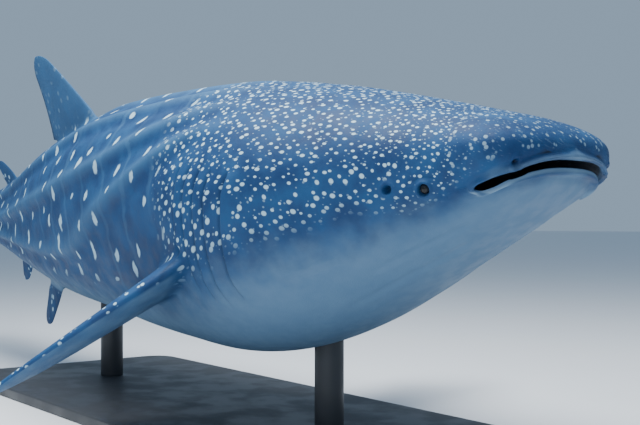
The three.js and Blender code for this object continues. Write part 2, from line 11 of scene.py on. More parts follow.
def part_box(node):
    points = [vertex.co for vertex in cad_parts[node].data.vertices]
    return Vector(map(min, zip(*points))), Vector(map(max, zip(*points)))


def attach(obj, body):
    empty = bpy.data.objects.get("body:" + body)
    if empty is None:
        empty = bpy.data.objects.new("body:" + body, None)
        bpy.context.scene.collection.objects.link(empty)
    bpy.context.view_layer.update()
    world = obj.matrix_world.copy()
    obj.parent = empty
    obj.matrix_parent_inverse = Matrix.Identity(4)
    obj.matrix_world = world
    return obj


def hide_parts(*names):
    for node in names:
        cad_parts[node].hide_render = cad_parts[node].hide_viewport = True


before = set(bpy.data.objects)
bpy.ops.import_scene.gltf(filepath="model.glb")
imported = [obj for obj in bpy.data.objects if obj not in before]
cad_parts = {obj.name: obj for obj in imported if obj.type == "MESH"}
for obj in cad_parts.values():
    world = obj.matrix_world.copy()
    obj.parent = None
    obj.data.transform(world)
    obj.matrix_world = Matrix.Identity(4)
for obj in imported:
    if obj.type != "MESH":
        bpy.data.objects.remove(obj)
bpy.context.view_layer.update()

bl_info = {
    "name": "Whale Shark Model",
    "version": (1, 0, 0),
    "blender": (4, 5, 0),
    "location": "View3D > Sidebar > Whale Shark",
    "description": "Builds a still, life-size whale shark on its display stand",
    "category": "Object",
}

FLESH_NODES = [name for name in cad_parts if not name.startswith(("eye", "stand"))]

# The straight animal has its snout tip at x = 0, its tail toward -X and its right side
# toward -Y. Stations and body sizes are shares of the total length, and angles are in degrees.
TOTAL_LENGTH = 7.5
NOSE_UP = 7.0
RIGHT_SIDE_DOWN = 12.4
HEADING = 10.0
TURN = {"from": 0.08, "change": 0.4, "front": 0.66, "rear": 0.12}
ARCH = {"from": 0.1, "rise": 0.133}
HEAD_TWIST = {"angle": 0.227, "from": 0.05, "to": 0.3}
AXIS_STEP = 0.002
SLOPE_STEP = 0.004

GIRTH_POWER = 2.25
SNOUT_LENGTH = 0.03
SNOUT_POWER = 2.5
BODY_END = 0.785
TAIL_CORE = {"length": 0.1, "fall": 0.88, "lift": 0.052, "power": 1.4}
# Station, half width, height above the axis, depth below it.
BODY_PROFILE = np.array([
    [0.03, 0.0608, 0.0226, 0.0313],
    [0.05, 0.0618, 0.0297, 0.0414],
    [0.08, 0.0684, 0.04, 0.055],
    [0.12, 0.082, 0.0527, 0.072],
    [0.16, 0.0935, 0.0638, 0.0866],
    [0.2, 0.0908, 0.072, 0.096],
    [0.25, 0.083, 0.078, 0.098],
    [0.3, 0.0778, 0.0816, 0.092],
    [0.35, 0.0726, 0.0836, 0.0848],
    [0.4, 0.0674, 0.083, 0.0763],
    [0.5, 0.0573, 0.0696, 0.0644],
    [0.6, 0.0424, 0.0481, 0.047],
    [0.7, 0.028, 0.0305, 0.028],
    [0.785, 0.0205, 0.0222, 0.0182],
])
# Station and the girth angles, from the midline of the back, of the three ridges on a flank.
RIDGE_ANGLES = np.array([
    [0.0, 22, 45, 72],
    [0.12, 20, 40, 62],
    [0.19, 16, 33, 50],
    [0.235, 17, 39, 57],
    [0.275, 19, 45, 67],
    [0.33, 23, 56, 80],
    [0.4, 31, 64, 95],
    [0.5, 42, 71, 97],
    [0.62, 50, 76, 95],
    [0.785, 45, 68, 91],
])
RIDGE_HEIGHT = 0.0026
RIDGE_HALF_ANGLE = 4.6
RIDGE_FURROW = 0.45
# Stations between which the ridges begin, and fade out on the tail.
RIDGE_ONSET = (0.165, 0.23)
RIDGE_FADE = (0.6, 0.74)
KEEL = {"height": 0.0075, "half_angle": 7.36, "onset": (0.58, 0.74)}
# Station, girth angle of the border between the dark back and the pale belly.
BELLY_BORDER = np.array([
    [0.0, 176], [0.004, 172], [0.01, 152], [0.018, 138], [0.03, 131], [0.05, 127], [0.08, 122],
    [0.12, 116], [0.163, 113], [0.25, 118], [0.4, 122], [0.6, 124], [0.785, 126],
])
# Station and the lowest girth angle that the spots reach.
SPOT_BORDER = np.array([
    [0.0, 104], [0.022, 112], [0.0485, 121], [0.0715, 119], [0.0947, 107], [0.122, 108],
    [0.163, 106], [0.25, 112], [0.4, 116], [0.6, 120], [0.785, 124],
])
# Station, distance between the spots along the body, and round it.
HEAD_SPACING = np.array([
    [0.0, 0.0029, 0.0026], [0.05, 0.0031, 0.0028], [0.12, 0.0039, 0.0036], [0.25, 0.0052, 0.0048],
])
TRUNK_SPACING = np.array([
    [0.2, 0.0165, 0.015], [0.3, 0.018, 0.0165], [0.45, 0.017, 0.0155], [0.7, 0.0125, 0.0115],
    [0.9, 0.0095, 0.009],
])

GILL_STATIONS = [0.166, 0.1815, 0.193, 0.2045, 0.2155]
GILL_LOWEST_ANGLE = [120, 119, 116, 110, 102]
GILL_HIGHEST_ANGLE = [84, 82, 79, 76, 73]
# Along the body from a slit: the flap ahead of it swells, and the slit's two walls go down and up.
GILL_FLAP = {"rise": 0.0026, "from": -0.0125, "to": -0.0009, "edge": -0.0003, "power": 1.6}
GILL_SLIT = {"depth": 0.0045, "front_wall": (-0.0009, -0.0002), "rear_wall": (0.0004, 0.0044), "middle": 0.0009}
GILL_SLANT = 0.028
GILL_LEAN_SPAN = (0.137, 0.163, 0.216, 0.246)
GILL_RING_OFFSETS = (0.0052, 0.0042, 0.003, 0.0018, 0.0009, 0.0002, -0.0003, -0.0008, -0.0018, -0.0036, -0.0056)
TAIL_RINGS = 16
HEAD_RINGS = 58
# Distance between rings, and the station at which each stretch of the body ends toward the head.
RING_STEP = {"trunk": 0.0045, "behind_gills": 0.003, "least": 0.00025}
RING_END = {"trunk": 0.3, "behind_gills": 0.2265, "gills": 0.158}

MOUTH = {
    "half_width": 0.0535, "height": -0.0088, "droop": 0.0109, "arch": 2.95, "hook": 0.001,
    "gap": 0.0036, "corner_gap": 0.35, "depth": 0.05, "hollow": 0.008, "corner_angle": 128.0,
}
MOUTH_REACH = 0.0508
# Shares of the way to a corner over which the gap bends down, widens, leans outward and closes.
HOOK_SPAN = (0.84, 0.96)
WIDE_SPAN = (0.84, 0.95)
LEAN_SPAN = (0.7, 1.0)
POCKET_SPAN = (0.84, 1.01)
CORNER_LEAN = 1.04
CLOSING_POWER = 36
LEAST_GAP = 0.03
LIP_STEPS = [
    0.0094, 0.0078, 0.0065, 0.0054, 0.0045, 0.0037, 0.003, 0.0023, 0.0017, 0.0012, 0.0007, 0.0003, 0.0,
]
POCKET_STEPS = [0.0, 0.008, 0.02, 0.05, 0.1, 0.18, 0.3, 0.45, 0.62, 0.8, 1.0]
# Ahead of the first station the rings turn into lips, and behind the second the columns lie evenly.
CAP_STATION = 0.045
EVEN_FROM = 0.14
CAP_RINGS = 34
HALF_COLUMNS = 104
PATH_STEPS = 120

EYE = {"station": 0.054, "height": -0.0159, "radius": 0.0029, "sunk": 0.0016}
SPIRACLE = {"station": 0.0735, "height": -0.0125, "radius": 0.0027}
NOSTRIL = {"across": 0.0435, "above": 0.0056, "half_height": 0.0034, "half_width": 0.0017, "slant": 0.25}
# Rim: height, place and width. Hollow: depth, and where its wall goes down. In shares of the radius.
HOLLOWS = {
    "eye": {"rim": (0.0011, 1.34, 0.3), "hollow": (0.005, 0.78, 1.12)},
    "spiracle": {"rim": (0.0007, 1.35, 0.35), "hollow": (0.0045, 0.3, 1.05)},
    "nostril": {"rim": (0.0008, 1.5, 0.5), "hollow": (0.0034, 0.25, 1.1)},
}
# Height and width of the low swellings that carry the eye, and that lie between it and the spiracle.
EYE_SWELLING = (0.0009, 2.8)
BROW_SWELLING = (0.0012, 0.006)
# Height, distance from the gap and width of the full part of a lip, the groove behind it and its edge.
LIP_FORM = ((0.0022, 0.0023, 0.0019), (-0.0006, 0.0066, 0.0018), (-0.0006, 0.0, 0.0008))
CORNER_SOFTENING = (0.6, 0.006)
FOLD = {"angle": 128.5, "half_angle": 3.6, "station": 0.0308, "slant": 0.0016, "half_width": 0.0009}
EYE_COLOURS = {
    "iris_dark": (0.011, 0.013, 0.015, 1), "iris_light": (0.03, 0.031, 0.03, 1),
    "rim": (0.02, 0.024, 0.03, 1), "pupil": (0.004, 0.004, 0.005, 1),
}
# The eyeball fills its socket with a little room. Its lens bulges from a share of its radius on.
EYEBALL_SHARE = 0.985
LENS_FROM = 0.8
LENS_BULGE = 1.03
# Straight x, in metres, over which the head's spots give way to the trunk's.
BEHIND_GILLS = (-1.68, -1.88)
SHARP_ANGLE = 1.0
FLOOR_RADIUS = 60.0
KEY_LIGHT = {
    "place": (2.0, -1.5, 7.5), "target": (1.0, 0.0, 1.5), "size": 6.0, "light_colour": (1.0, 0.98, 0.95),
}
FILL_LIGHT = {
    "place": (7.5, -6.5, 3.5), "target": (2.5, 0.0, 1.2), "size": 4.0, "light_colour": (0.9, 0.95, 1.0),
}
SKY = {"Color": (0.5, 0.68, 0.9, 1), "Strength": 0.55}
CAMERA_FROM_SNOUT = Vector((2.81, -3.312, -0.252))
CAMERA_HEADING = 53.37

# Folds and furrows of the skin: points of station and girth angle, depth and half width.
CREASES = [
    ([(0.0335, 124), (0.0322, 128), (0.0305, 132)], 0.001, 0.001),
    ([(0.0338, 122), (0.038, 120.5), (0.044, 120)], 0.001, 0.0012),
    ([(0.144, 122), (0.128, 124), (0.112, 125)], 0.0011, 0.0017),
    ([(0.046, 117), (0.054, 119.5), (0.062, 117)], 0.0007, 0.0012),
    ([(0.048, 103), (0.054, 100.5), (0.061, 102)], 0.0006, 0.0011),
    ([(0.05, 148), (0.075, 143), (0.1, 141)], 0.0006, 0.002),
    ([(0.06, 163), (0.09, 157), (0.125, 154)], 0.0006, 0.0022),
    ([(0.223, 72), (0.226, 84), (0.2265, 96)], 0.0008, 0.0016),
]


def smooth_step(value, low, high):
    """0 at low and before it, 1 at high and beyond it, and smooth between."""
    share = np.clip((value - low) / (high - low), 0.0, 1.0)
    return share * share * (3 - 2 * share)


def bell(value, width):
    """1 at zero, falling off smoothly on both sides."""
    return np.exp(-((value / width) ** 2))


def table_value(table, station, column):
    """A value of a table, by a smooth curve through its rows."""
    x, y = table[:, 0], table[:, column]
    last = len(x) - 1
    s = np.clip(station, x[0], x[last])
    i = np.clip(np.searchsorted(x, s, side="left") - 1, 0, last - 1)
    before = np.maximum(np.arange(last + 1) - 1, 0)
    after = np.minimum(np.arange(last + 1) + 1, last)
    slope = (y[after] - y[before]) / (x[after] - x[before])
    span = x[i + 1] - x[i]
    u = (s - x[i]) / span
    rise = y[i + 1] - y[i]
    m0, m1 = slope[i] * span, slope[i + 1] * span
    return y[i] + m0 * u + (3 * rise - 2 * m0 - m1) * u * u + (m0 + m1 - 2 * rise) * u**3


def body_sizes(station):
    """Half width, height, depth and lift of the body at a station, into the core of the tail fin."""
    s = np.clip(station, 0.0, BODY_END)
    width, top, bottom = (table_value(BODY_PROFILE, s, column) for column in (1, 2, 3))
    reach = np.clip(s / SNOUT_LENGTH, 1e-9, 1.0)
    blunt = (1 - (1 - reach) ** SNOUT_POWER) ** (1 / SNOUT_POWER)
    thin = reach**0.5
    share = np.clip((np.asarray(station) - BODY_END) / TAIL_CORE["length"], 0.0, 1.0)
    fall = 1 - TAIL_CORE["fall"] * share
    lift = TAIL_CORE["lift"] * share ** TAIL_CORE["power"]
    return width * blunt * fall, top * thin * fall, bottom * thin * fall, lift


def body_point(station, angle):
    """Points of the plain body surface, at girth angles that are 0 on the back and 180 below."""
    width, top, bottom, lift = body_sizes(station)
    power = 2 / GIRTH_POWER
    side, up = np.sin(np.radians(angle)), np.cos(np.radians(angle))
    across = width * np.sign(side) * np.abs(side) ** power
    height = np.where(up > 0, top, bottom) * np.sign(up) * np.abs(up) ** power
    return np.stack([-np.asarray(station) + 0 * across, across, height + lift], axis=-1)


def girth_of(place):
    """Station, girth angle and share of the way out to the plain surface, of straight points."""
    station = np.clip(-place[:, 0], 1e-7, BODY_END + TAIL_CORE["length"])
    width, top, bottom, lift = body_sizes(station)
    across = np.abs(place[:, 1]) / width
    up = place[:, 2] - lift
    height = np.abs(up) / np.where(up > 0, top, bottom)
    reach = (across**GIRTH_POWER + height**GIRTH_POWER) ** (1 / GIRTH_POWER)
    half = GIRTH_POWER / 2
    angle = np.degrees(np.arctan2(across**half, np.sign(up) * height**half))
    return station, np.where(place[:, 1] < 0, -angle, angle), reach


def ridge_rise(station, angle):
    """The ridge on the midline, the three on each flank with furrows between them, and the tail's keels."""
    onset = smooth_step(station, *RIDGE_ONSET)
    fade = 1 - smooth_step(station, *RIDGE_FADE)
    rise = bell(angle, RIDGE_HALF_ANGLE) * onset * fade
    for column in (1, 2, 3):
        beyond = np.abs(angle) - table_value(RIDGE_ANGLES, station, column)
        rise = rise + bell(beyond, RIDGE_HALF_ANGLE) * onset * (1.0 if column == 3 else fade)
        rise = rise - RIDGE_FURROW * bell(beyond - 2 * RIDGE_HALF_ANGLE, RIDGE_HALF_ANGLE) * onset * fade
    keel = bell(beyond, KEEL["half_angle"]) * smooth_step(station, *KEEL["onset"])
    shrink = np.clip(1 - (station - BODY_END) / TAIL_CORE["length"], 0.0, 1.0)
    return (RIDGE_HEIGHT * rise + KEEL["height"] * keel) * shrink


def gill_window(angle, number):
    """1 where a gill slit runs down the flank, and 0 above and below it."""
    turn = np.abs(angle)
    lowest, highest = GILL_LOWEST_ANGLE[number], GILL_HIGHEST_ANGLE[number]
    return smooth_step(turn, highest - 8, highest + 4) * (1 - smooth_step(turn, lowest - 6, lowest + 6))


def gill_rise(station, angle):
    """Flaps of skin that swell toward each gill slit and drop into it."""
    rise = 0 * station
    for number, slit in enumerate(GILL_STATIONS):
        window = gill_window(angle, number)
        along = station - slit
        flap = (along - GILL_FLAP["from"]) / (GILL_FLAP["to"] - GILL_FLAP["from"])
        flap = np.clip(flap, 0.0, 1.0) ** GILL_FLAP["power"] * (along < GILL_FLAP["edge"])
        deep = smooth_step(along, *GILL_SLIT["front_wall"]) * (1 - smooth_step(along, *GILL_SLIT["rear_wall"]))
        rise = rise + window * (GILL_FLAP["rise"] * flap - GILL_SLIT["depth"] * deep)
    return rise


def lean_back(station, angle):
    """How far the rings lean near the gills, so that the slits slant."""
    a, b, c, d = GILL_LEAN_SPAN
    window = smooth_step(station, a, b) * (1 - smooth_step(station, c, d))
    turn = np.radians(angle)
    return -GILL_SLANT * window * np.cos(turn) * np.sin(turn) ** 2


def upright_station(station, angle):
    """Station that a leaning ring had before it leaned."""
    found = station
    for _ in range(4):
        found = station - lean_back(found, angle)
    return found


def axis_line():
    """Stations, and the turn and place of the bent axis at each."""
    stations = np.arange(0, 1.1, AXIS_STEP)
    middles = stations[:-1] + AXIS_STEP / 2
    bend = np.where(middles < TURN["change"], TURN["front"], TURN["rear"]) * (middles > TURN["from"])
    turn = np.concatenate([[0.0], np.cumsum(bend * AXIS_STEP)])
    x = np.concatenate([[0.0], np.cumsum(-np.cos(turn[1:]) * AXIS_STEP)])
    y = np.concatenate([[0.0], np.cumsum(np.sin(turn[1:]) * AXIS_STEP)])
    return stations, turn, x, y


AXIS = axis_line()
ATTITUDE = np.array(
    Matrix.Rotation(math.radians(HEADING), 3, "Z")
    @ Matrix.Rotation(math.radians(-NOSE_UP), 3, "Y")
    @ Matrix.Rotation(math.radians(RIGHT_SIDE_DOWN), 3, "X")
)


def bend_straight(place):
    """Straight points, in shares of the length, to metres from the snout tip in the pose."""
    place = np.asarray(place, float)
    station = -place[:, 0]
    span = HEAD_TWIST["to"] - HEAD_TWIST["from"]
    twist = HEAD_TWIST["angle"] * (1 - np.clip((station - HEAD_TWIST["from"]) / span, 0.0, 1.0))
    y = place[:, 1] * np.cos(twist) + place[:, 2] * np.sin(twist)
    z = -place[:, 1] * np.sin(twist) + place[:, 2] * np.cos(twist)
    stations, turns, xs, ys = AXIS
    behind = np.clip(station, 0.0, stations[-1])
    turn = np.interp(behind, stations, turns)
    x = np.interp(behind, stations, xs) + y * np.sin(turn) + np.maximum(0.0, -station)
    across = np.interp(behind, stations, ys) + y * np.cos(turn)
    arched = np.maximum(0.0, station - ARCH["from"])
    z = z + ARCH["rise"] * arched * arched / 2
    return np.stack([x, across, z], axis=-1) @ ATTITUDE.T * TOTAL_LENGTH


def skin_frame(station, height, flank):
    """A place on the flank, with z out of the skin, x to the front and y along the skin."""
    width, top, bottom, _ = (float(v) for v in body_sizes(station))
    ahead = float(body_sizes(station - SLOPE_STEP)[0])
    deep = top if height > 0 else bottom
    across = flank * width * (1 - abs(height / deep) ** GIRTH_POWER) ** (1 / GIRTH_POWER)
    upward = math.copysign(abs(height / deep) ** (GIRTH_POWER - 1) * width / deep, height)
    out = Vector(((width - ahead) / SLOPE_STEP, flank, upward)).normalized()
    front = (Vector((1, 0, 0)) - out * out.x).normalized()
    along = out.cross(front)
    matrix = Matrix((front, along, out)).transposed().to_4x4()
    matrix.translation = Vector((-station, across, height))
    return matrix


def eye_centre(flank):
    return skin_frame(EYE["station"], EYE["height"], flank) @ Vector((0, 0, -EYE["sunk"]))


def snout_place():
    """Where the snout tip is in the frame, found from the eyes of the CAD model."""
    offsets = []
    for side, flank in (("left", 1), ("right", -1)):
        low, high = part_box(f"eye_{side}")
        middle = (np.array(low) + np.array(high)) / 2
        offsets.append(middle - bend_straight([eye_centre(flank)])[0])
    return np.mean(offsets, axis=0)


SNOUT = snout_place()


def posed(place):
    return bend_straight(place) + SNOUT


def mouth_height(across):
    """Height of the middle of the mouth's gap, which droops toward the corners."""
    reach = np.minimum(1.4, np.abs(across) / MOUTH["half_width"])
    hook = MOUTH["hook"] * smooth_step(reach, *HOOK_SPAN)
    return MOUTH["height"] - MOUTH["droop"] * reach ** MOUTH["arch"] - hook


def mouth_gap(across):
    """Half the height of the gap, which is wider before the corners and closes at them."""
    reach = np.minimum(1.0, np.abs(across) / MOUTH_REACH)
    wider = 1 + MOUTH["corner_gap"] * smooth_step(reach, *WIDE_SPAN)
    opened = LEAST_GAP + (1 - LEAST_GAP) * np.sqrt(1 - reach**CLOSING_POWER)
    return MOUTH["gap"] * wider * opened / 2


def corner_lean(across):
    """How far the gap leans outward with height, toward the corners of the mouth."""
    return np.sign(across) * CORNER_LEAN * smooth_step(np.abs(across) / MOUTH_REACH, *LEAN_SPAN)


def from_gap(place):
    """Distance of straight points from the edge of the gap, height above it, and place along it."""
    middle = place[:, 1]
    for _ in range(8):
        above = place[:, 2] - mouth_height(middle)
        middle = place[:, 1] - corner_lean(middle) * above
    return np.abs(above) - mouth_gap(middle), above, np.abs(middle) / MOUTH_REACH


def station_across(across, height):
    """Station at which the plain body reaches a place in front view."""
    low = np.full(np.shape(across), 2e-5)
    high = np.full(np.shape(across), 0.08)
    for _ in range(40):
        middle = (low + high) / 2
        width, top, bottom, _ = body_sizes(middle)
        z = np.abs(height) / np.where(height > 0, top, bottom)
        inside = (np.abs(across) / width) ** GIRTH_POWER + z**GIRTH_POWER < 1
        high = np.where(inside, middle, high)
        low = np.where(inside, low, middle)
    return (low + high) / 2


def ring_stations():
    """Stations of the rings from the tail to the front of the head, closer at the gills."""
    stations = list(np.linspace(BODY_END + TAIL_CORE["length"], BODY_END, TAIL_RINGS))
    stations += list(np.arange(BODY_END - RING_STEP["trunk"], RING_END["trunk"], -RING_STEP["trunk"]))
    stations += list(np.arange(RING_END["trunk"], RING_END["behind_gills"], -RING_STEP["behind_gills"]))
    for slit in reversed(GILL_STATIONS):
        stations += [slit + offset for offset in GILL_RING_OFFSETS]
    stations += list(np.linspace(RING_END["gills"], CAP_STATION, HEAD_RINGS))
    kept = []
    for station in sorted(set(stations), reverse=True):
        if not kept or kept[-1] - station > RING_STEP["least"]:
            kept.append(station)
    return np.array(kept)


BODY_RINGS = ring_stations()
RING_COUNT = len(BODY_RINGS) - 1 + CAP_RINGS + len(LIP_STEPS) + len(POCKET_STEPS) - 2


def column_angle(turn, station):
    """Girth angle of a column. Near the head, as many columns meet the upper lip as the lower."""
    even = 180 * turn
    corner = MOUTH["corner_angle"]
    mouth = np.where(turn < 0.5, 2 * turn * corner, corner + (2 * turn - 1) * (180 - corner))
    return mouth + (even - mouth) * smooth_step(station, CAP_STATION, EVEN_FROM)


def lip_edge(turn, side):
    """Where a column meets the mouth: middle of the gap, edge of the gap, and 1 above or -1 below."""
    upward = np.where(turn <= 0.5, 1, -1)
    share = np.where(turn <= 0.5, turn, 1 - turn) * 2
    middle = side * MOUTH_REACH * np.sin(0.5 * math.pi * np.clip(share, 0, 1))
    offset = upward * mouth_gap(middle)
    return middle, middle + corner_lean(middle) * offset, mouth_height(middle) + offset, upward


def disk_point(station, angle):
    """The snout unrolled round its tip onto a plane."""
    radius = np.sqrt(station)
    return radius * np.sin(np.radians(angle)), radius * np.cos(np.radians(angle))


def cap_place(turn, side, distance_share, lip_distance):
    """Station, signed angle and distance from the lips, of places between them and the head's front ring."""
    _, across, height, _ = lip_edge(turn, side)
    station = station_across(across, height)
    lip_place = np.stack([-station, across, height], axis=-1)
    _, lip_angle, _ = girth_of(lip_place)
    start = np.stack(disk_point(station, lip_angle), axis=-1)
    outer = np.stack(disk_point(CAP_STATION, side * column_angle(turn, CAP_STATION)), axis=-1)
    steps = np.linspace(0, 1, PATH_STEPS)
    path = start[:, None, :] + (outer - start)[:, None, :] * steps[None, :, None]
    stations = (path**2).sum(axis=2)
    angles = np.degrees(np.arctan2(path[..., 0], path[..., 1]))
    points = body_point(stations, angles)
    lengths = np.linalg.norm(np.diff(points, axis=1), axis=2)
    along = np.concatenate([np.zeros((len(turn), 1)), np.cumsum(lengths, axis=1)], axis=1)
    total = along[:, -1]
    lips = np.minimum(LIP_STEPS[0], 0.45 * total)
    beside = lip_distance * lips / LIP_STEPS[0]
    wanted = np.where(distance_share > 0, lips + (total - lips) * distance_share, beside)
    index = np.clip((along < wanted[:, None]).sum(axis=1), 1, len(steps) - 1)
    rows = np.arange(len(turn))
    low, high = along[rows, index - 1], along[rows, index]
    part = np.clip((wanted - low) / np.maximum(high - low, 1e-12), 0, 1)
    t = (index - 1 + part) / (len(steps) - 1)
    place = start + (outer - start) * t[:, None]
    return (place**2).sum(axis=1), np.degrees(np.arctan2(place[:, 0], place[:, 1])), wanted


def pocket_place(turn, side, share):
    """Straight points inside the mouth, from the edge of the lips to where the jaws meet."""
    across, edge_across, height, upward = lip_edge(turn, side)
    edge = -station_across(edge_across, height)
    middle = mouth_height(across)
    joined = -station_across(across, middle)
    inner = 1 - smooth_step(np.abs(across) / MOUTH_REACH, *POCKET_SPAN)
    depth = MOUTH["depth"] * share * (0.02 + 0.98 * inner)
    x = edge + (joined - edge) * smooth_step(share, 0.0, 0.3) - depth
    hollow = MOUTH["hollow"] * inner * np.sin(math.pi * np.clip(share, 0, 1)) ** 0.8
    z = middle + (height - middle) * (1 - share) + upward * hollow
    y = edge_across + (across - edge_across) * share - 0.12 * across * share * inner
    return np.stack([x, y, z], axis=-1)


def skin_place(grid):
    """Straight points, stations, angles and lip distances of places on the flat grid."""
    ring = (grid[:, 0] + 0.5) * RING_COUNT
    turn = np.abs(2 * grid[:, 1])
    side = np.where(grid[:, 1] < 0, -1.0, 1.0)
    cap_start = len(BODY_RINGS) - 1
    lip_start = cap_start + CAP_RINGS
    pocket_start = lip_start + len(LIP_STEPS) - 1
    station = np.interp(ring, np.arange(len(BODY_RINGS)), BODY_RINGS)
    angle = side * column_angle(turn, station)
    lip_distance = np.full(len(ring), 1.0)
    on_cap = ring > cap_start
    share = np.clip((lip_start - ring[on_cap]) / CAP_RINGS, 0, 1)
    lip = np.interp(ring[on_cap] - lip_start, np.arange(len(LIP_STEPS)), LIP_STEPS)
    station[on_cap], angle[on_cap], lip_distance[on_cap] = cap_place(turn[on_cap], side[on_cap], share, lip)
    leaned = station + lean_back(station, angle)
    points = body_point(leaned, angle)
    inside = ring > pocket_start
    depth = np.interp(ring[inside] - pocket_start, np.arange(len(POCKET_STEPS)), POCKET_STEPS)
    points[inside] = pocket_place(turn[inside], side[inside], depth)
    return points, station, angle, lip_distance, inside


def crease_rise(station, angle):
    """Furrows of the skin, each with a low swelling beside it."""
    width, top, bottom, _ = body_sizes(station)
    girth = np.radians(1.0) * (width + (top + bottom) / 2) / 2
    turn = np.abs(angle)
    rise = 0 * station
    for points, depth, half_width in CREASES:
        nearest = np.full(station.shape, 1.0)
        for (s0, a0), (s1, a1) in zip(points, points[1:]):
            across = (turn - a0) * girth
            along = station - s0
            line_s, line_a = s1 - s0, (a1 - a0) * girth
            share = np.clip((along * line_s + across * line_a) / (line_s**2 + line_a**2), 0, 1)
            nearest = np.minimum(nearest, np.hypot(along - share * line_s, across - share * line_a))
        swelling = bell(nearest - 2.2 * half_width, 1.3 * half_width)
        rise = rise - depth * bell(nearest, half_width) + 0.3 * depth * swelling
    return rise


def fold_highlight(station, angle):
    """Painted highlight along the edge of the fold that runs down and forward from each corner of the mouth."""
    down = (np.abs(angle) - FOLD["angle"]) / FOLD["half_angle"]
    return bell(station - FOLD["station"] + FOLD["slant"] * down, FOLD["half_width"]) * bell(down, 1.0)


def snout_point(across, above):
    """A straight point of the plain snout, at a height above the middle of the gap of the mouth."""
    height = mouth_height(np.array(across)) + above
    return Vector((-float(station_across(np.array(across), height)), across, float(height)))


def head_points():
    """Straight points of the eyes, spiracles, nostrils and corners of the mouth, as pairs."""
    points = {"eye": [], "spiracle": [], "nostril": [], "corner": []}
    for flank in (1, -1):
        points["eye"].append(skin_frame(EYE["station"], EYE["height"], flank).translation)
        points["spiracle"].append(skin_frame(SPIRACLE["station"], SPIRACLE["height"], flank).translation)
        points["nostril"].append(snout_point(flank * NOSTRIL["across"], NOSTRIL["above"]))
        points["corner"].append(snout_point(flank * MOUTH_REACH, 0.0))
    return points


HEAD_POINTS = head_points()
FINER_NEAR = (("eye", 0.0105, 3), ("spiracle", 0.006, 3), ("nostril", 0.007, 2), ("corner", 0.009, 1))


def distance_from(points, centre):
    return np.linalg.norm(points - np.array(centre), axis=1)


def rimmed_hollow(kind, away):
    height, place, width = HOLLOWS[kind]["rim"]
    depth, inner, outer = HOLLOWS[kind]["hollow"]
    return height * bell(away - place, width) - depth * (1 - smooth_step(away, inner, outer))


def head_rise(points):
    """Rims and hollows round the eyes, spiracles and nostrils."""
    rise = np.zeros(len(points))
    for eye, spiracle in zip(HEAD_POINTS["eye"], HEAD_POINTS["spiracle"]):
        away = distance_from(points, eye) / EYE["radius"]
        rise += rimmed_hollow("eye", away) + EYE_SWELLING[0] * bell(away, EYE_SWELLING[1])
        rise += rimmed_hollow("spiracle", distance_from(points, spiracle) / SPIRACLE["radius"])
        between = np.array(eye) * 0.45 + np.array(spiracle) * 0.55
        rise += BROW_SWELLING[0] * bell(distance_from(points, between), BROW_SWELLING[1])
    for centre in HEAD_POINTS["nostril"]:
        offset = points - np.array(centre)
        upright = offset[:, 2] + NOSTRIL["slant"] * np.abs(offset[:, 0])
        flat = np.linalg.norm(offset - upright[:, None] * np.array([0, 0, 1]), axis=1)
        rise += rimmed_hollow("nostril", np.hypot(upright / NOSTRIL["half_height"], flat / NOSTRIL["half_width"]))
    return rise


def lip_rise(distance, points):
    """Full lips with a groove behind them, lower toward the corners of the mouth."""
    rise = sum(height * bell(distance - place, width) for height, place, width in LIP_FORM)
    share, radius = CORNER_SOFTENING
    for corner in HEAD_POINTS["corner"]:
        rise = rise * (1 - share * bell(distance_from(points, corner), radius))
    return rise


def mesh_points(mesh):
    points = np.empty(len(mesh.vertices) * 3)
    mesh.vertices.foreach_get("co", points)
    return points.reshape(-1, 3)


def set_points(mesh, points):
    mesh.vertices.foreach_set("co", np.ascontiguousarray(points, dtype=np.float32).ravel())
    mesh.update()


def mesh_normals(mesh):
    normals = np.empty(len(mesh.vertices) * 3)
    mesh.vertex_normals.foreach_get("vector", normals)
    return normals.reshape(-1, 3)


def mesh_from(bm, name):
    mesh = bpy.data.meshes.new(name)
    bm.to_mesh(mesh)
    bm.free()
    return mesh


def flat_grid(columns, rows):
    bm = bmesh.new()
    bmesh.ops.create_grid(bm, x_segments=columns, y_segments=rows, size=0.5)
    return bm


def grid_coordinates(bm):
    return np.array([vert.co[:2] for vert in bm.verts])


def refine_near(bm, centres, radius, cuts):
    """Cuts the flat grid finer where it will lie near some points of the head."""
    points = skin_place(grid_coordinates(bm))[0]
    near = np.zeros(len(points), bool)
    for centre in centres:
        near |= distance_from(points, centre) < radius
    bm.verts.ensure_lookup_table()
    edges = [edge for edge in bm.edges if near[edge.verts[0].index] and near[edge.verts[1].index]]
    bmesh.ops.subdivide_edges(bm, edges=edges, cuts=cuts, use_grid_fill=True)
    bm.verts.index_update()


def close_grid(mesh, distance, chosen):
    """Merges the chosen points that meet where a wrapped grid comes round, and fills what stays open."""
    bm = bmesh.new()
    bm.from_mesh(mesh)
    bmesh.ops.remove_doubles(bm, verts=[vert for vert in bm.verts if chosen(vert)], dist=distance)
    bmesh.ops.holes_fill(bm, edges=[edge for edge in bm.edges if edge.is_boundary])
    bmesh.ops.recalc_face_normals(bm, faces=bm.faces)
    bm.to_mesh(mesh)
    bm.free()


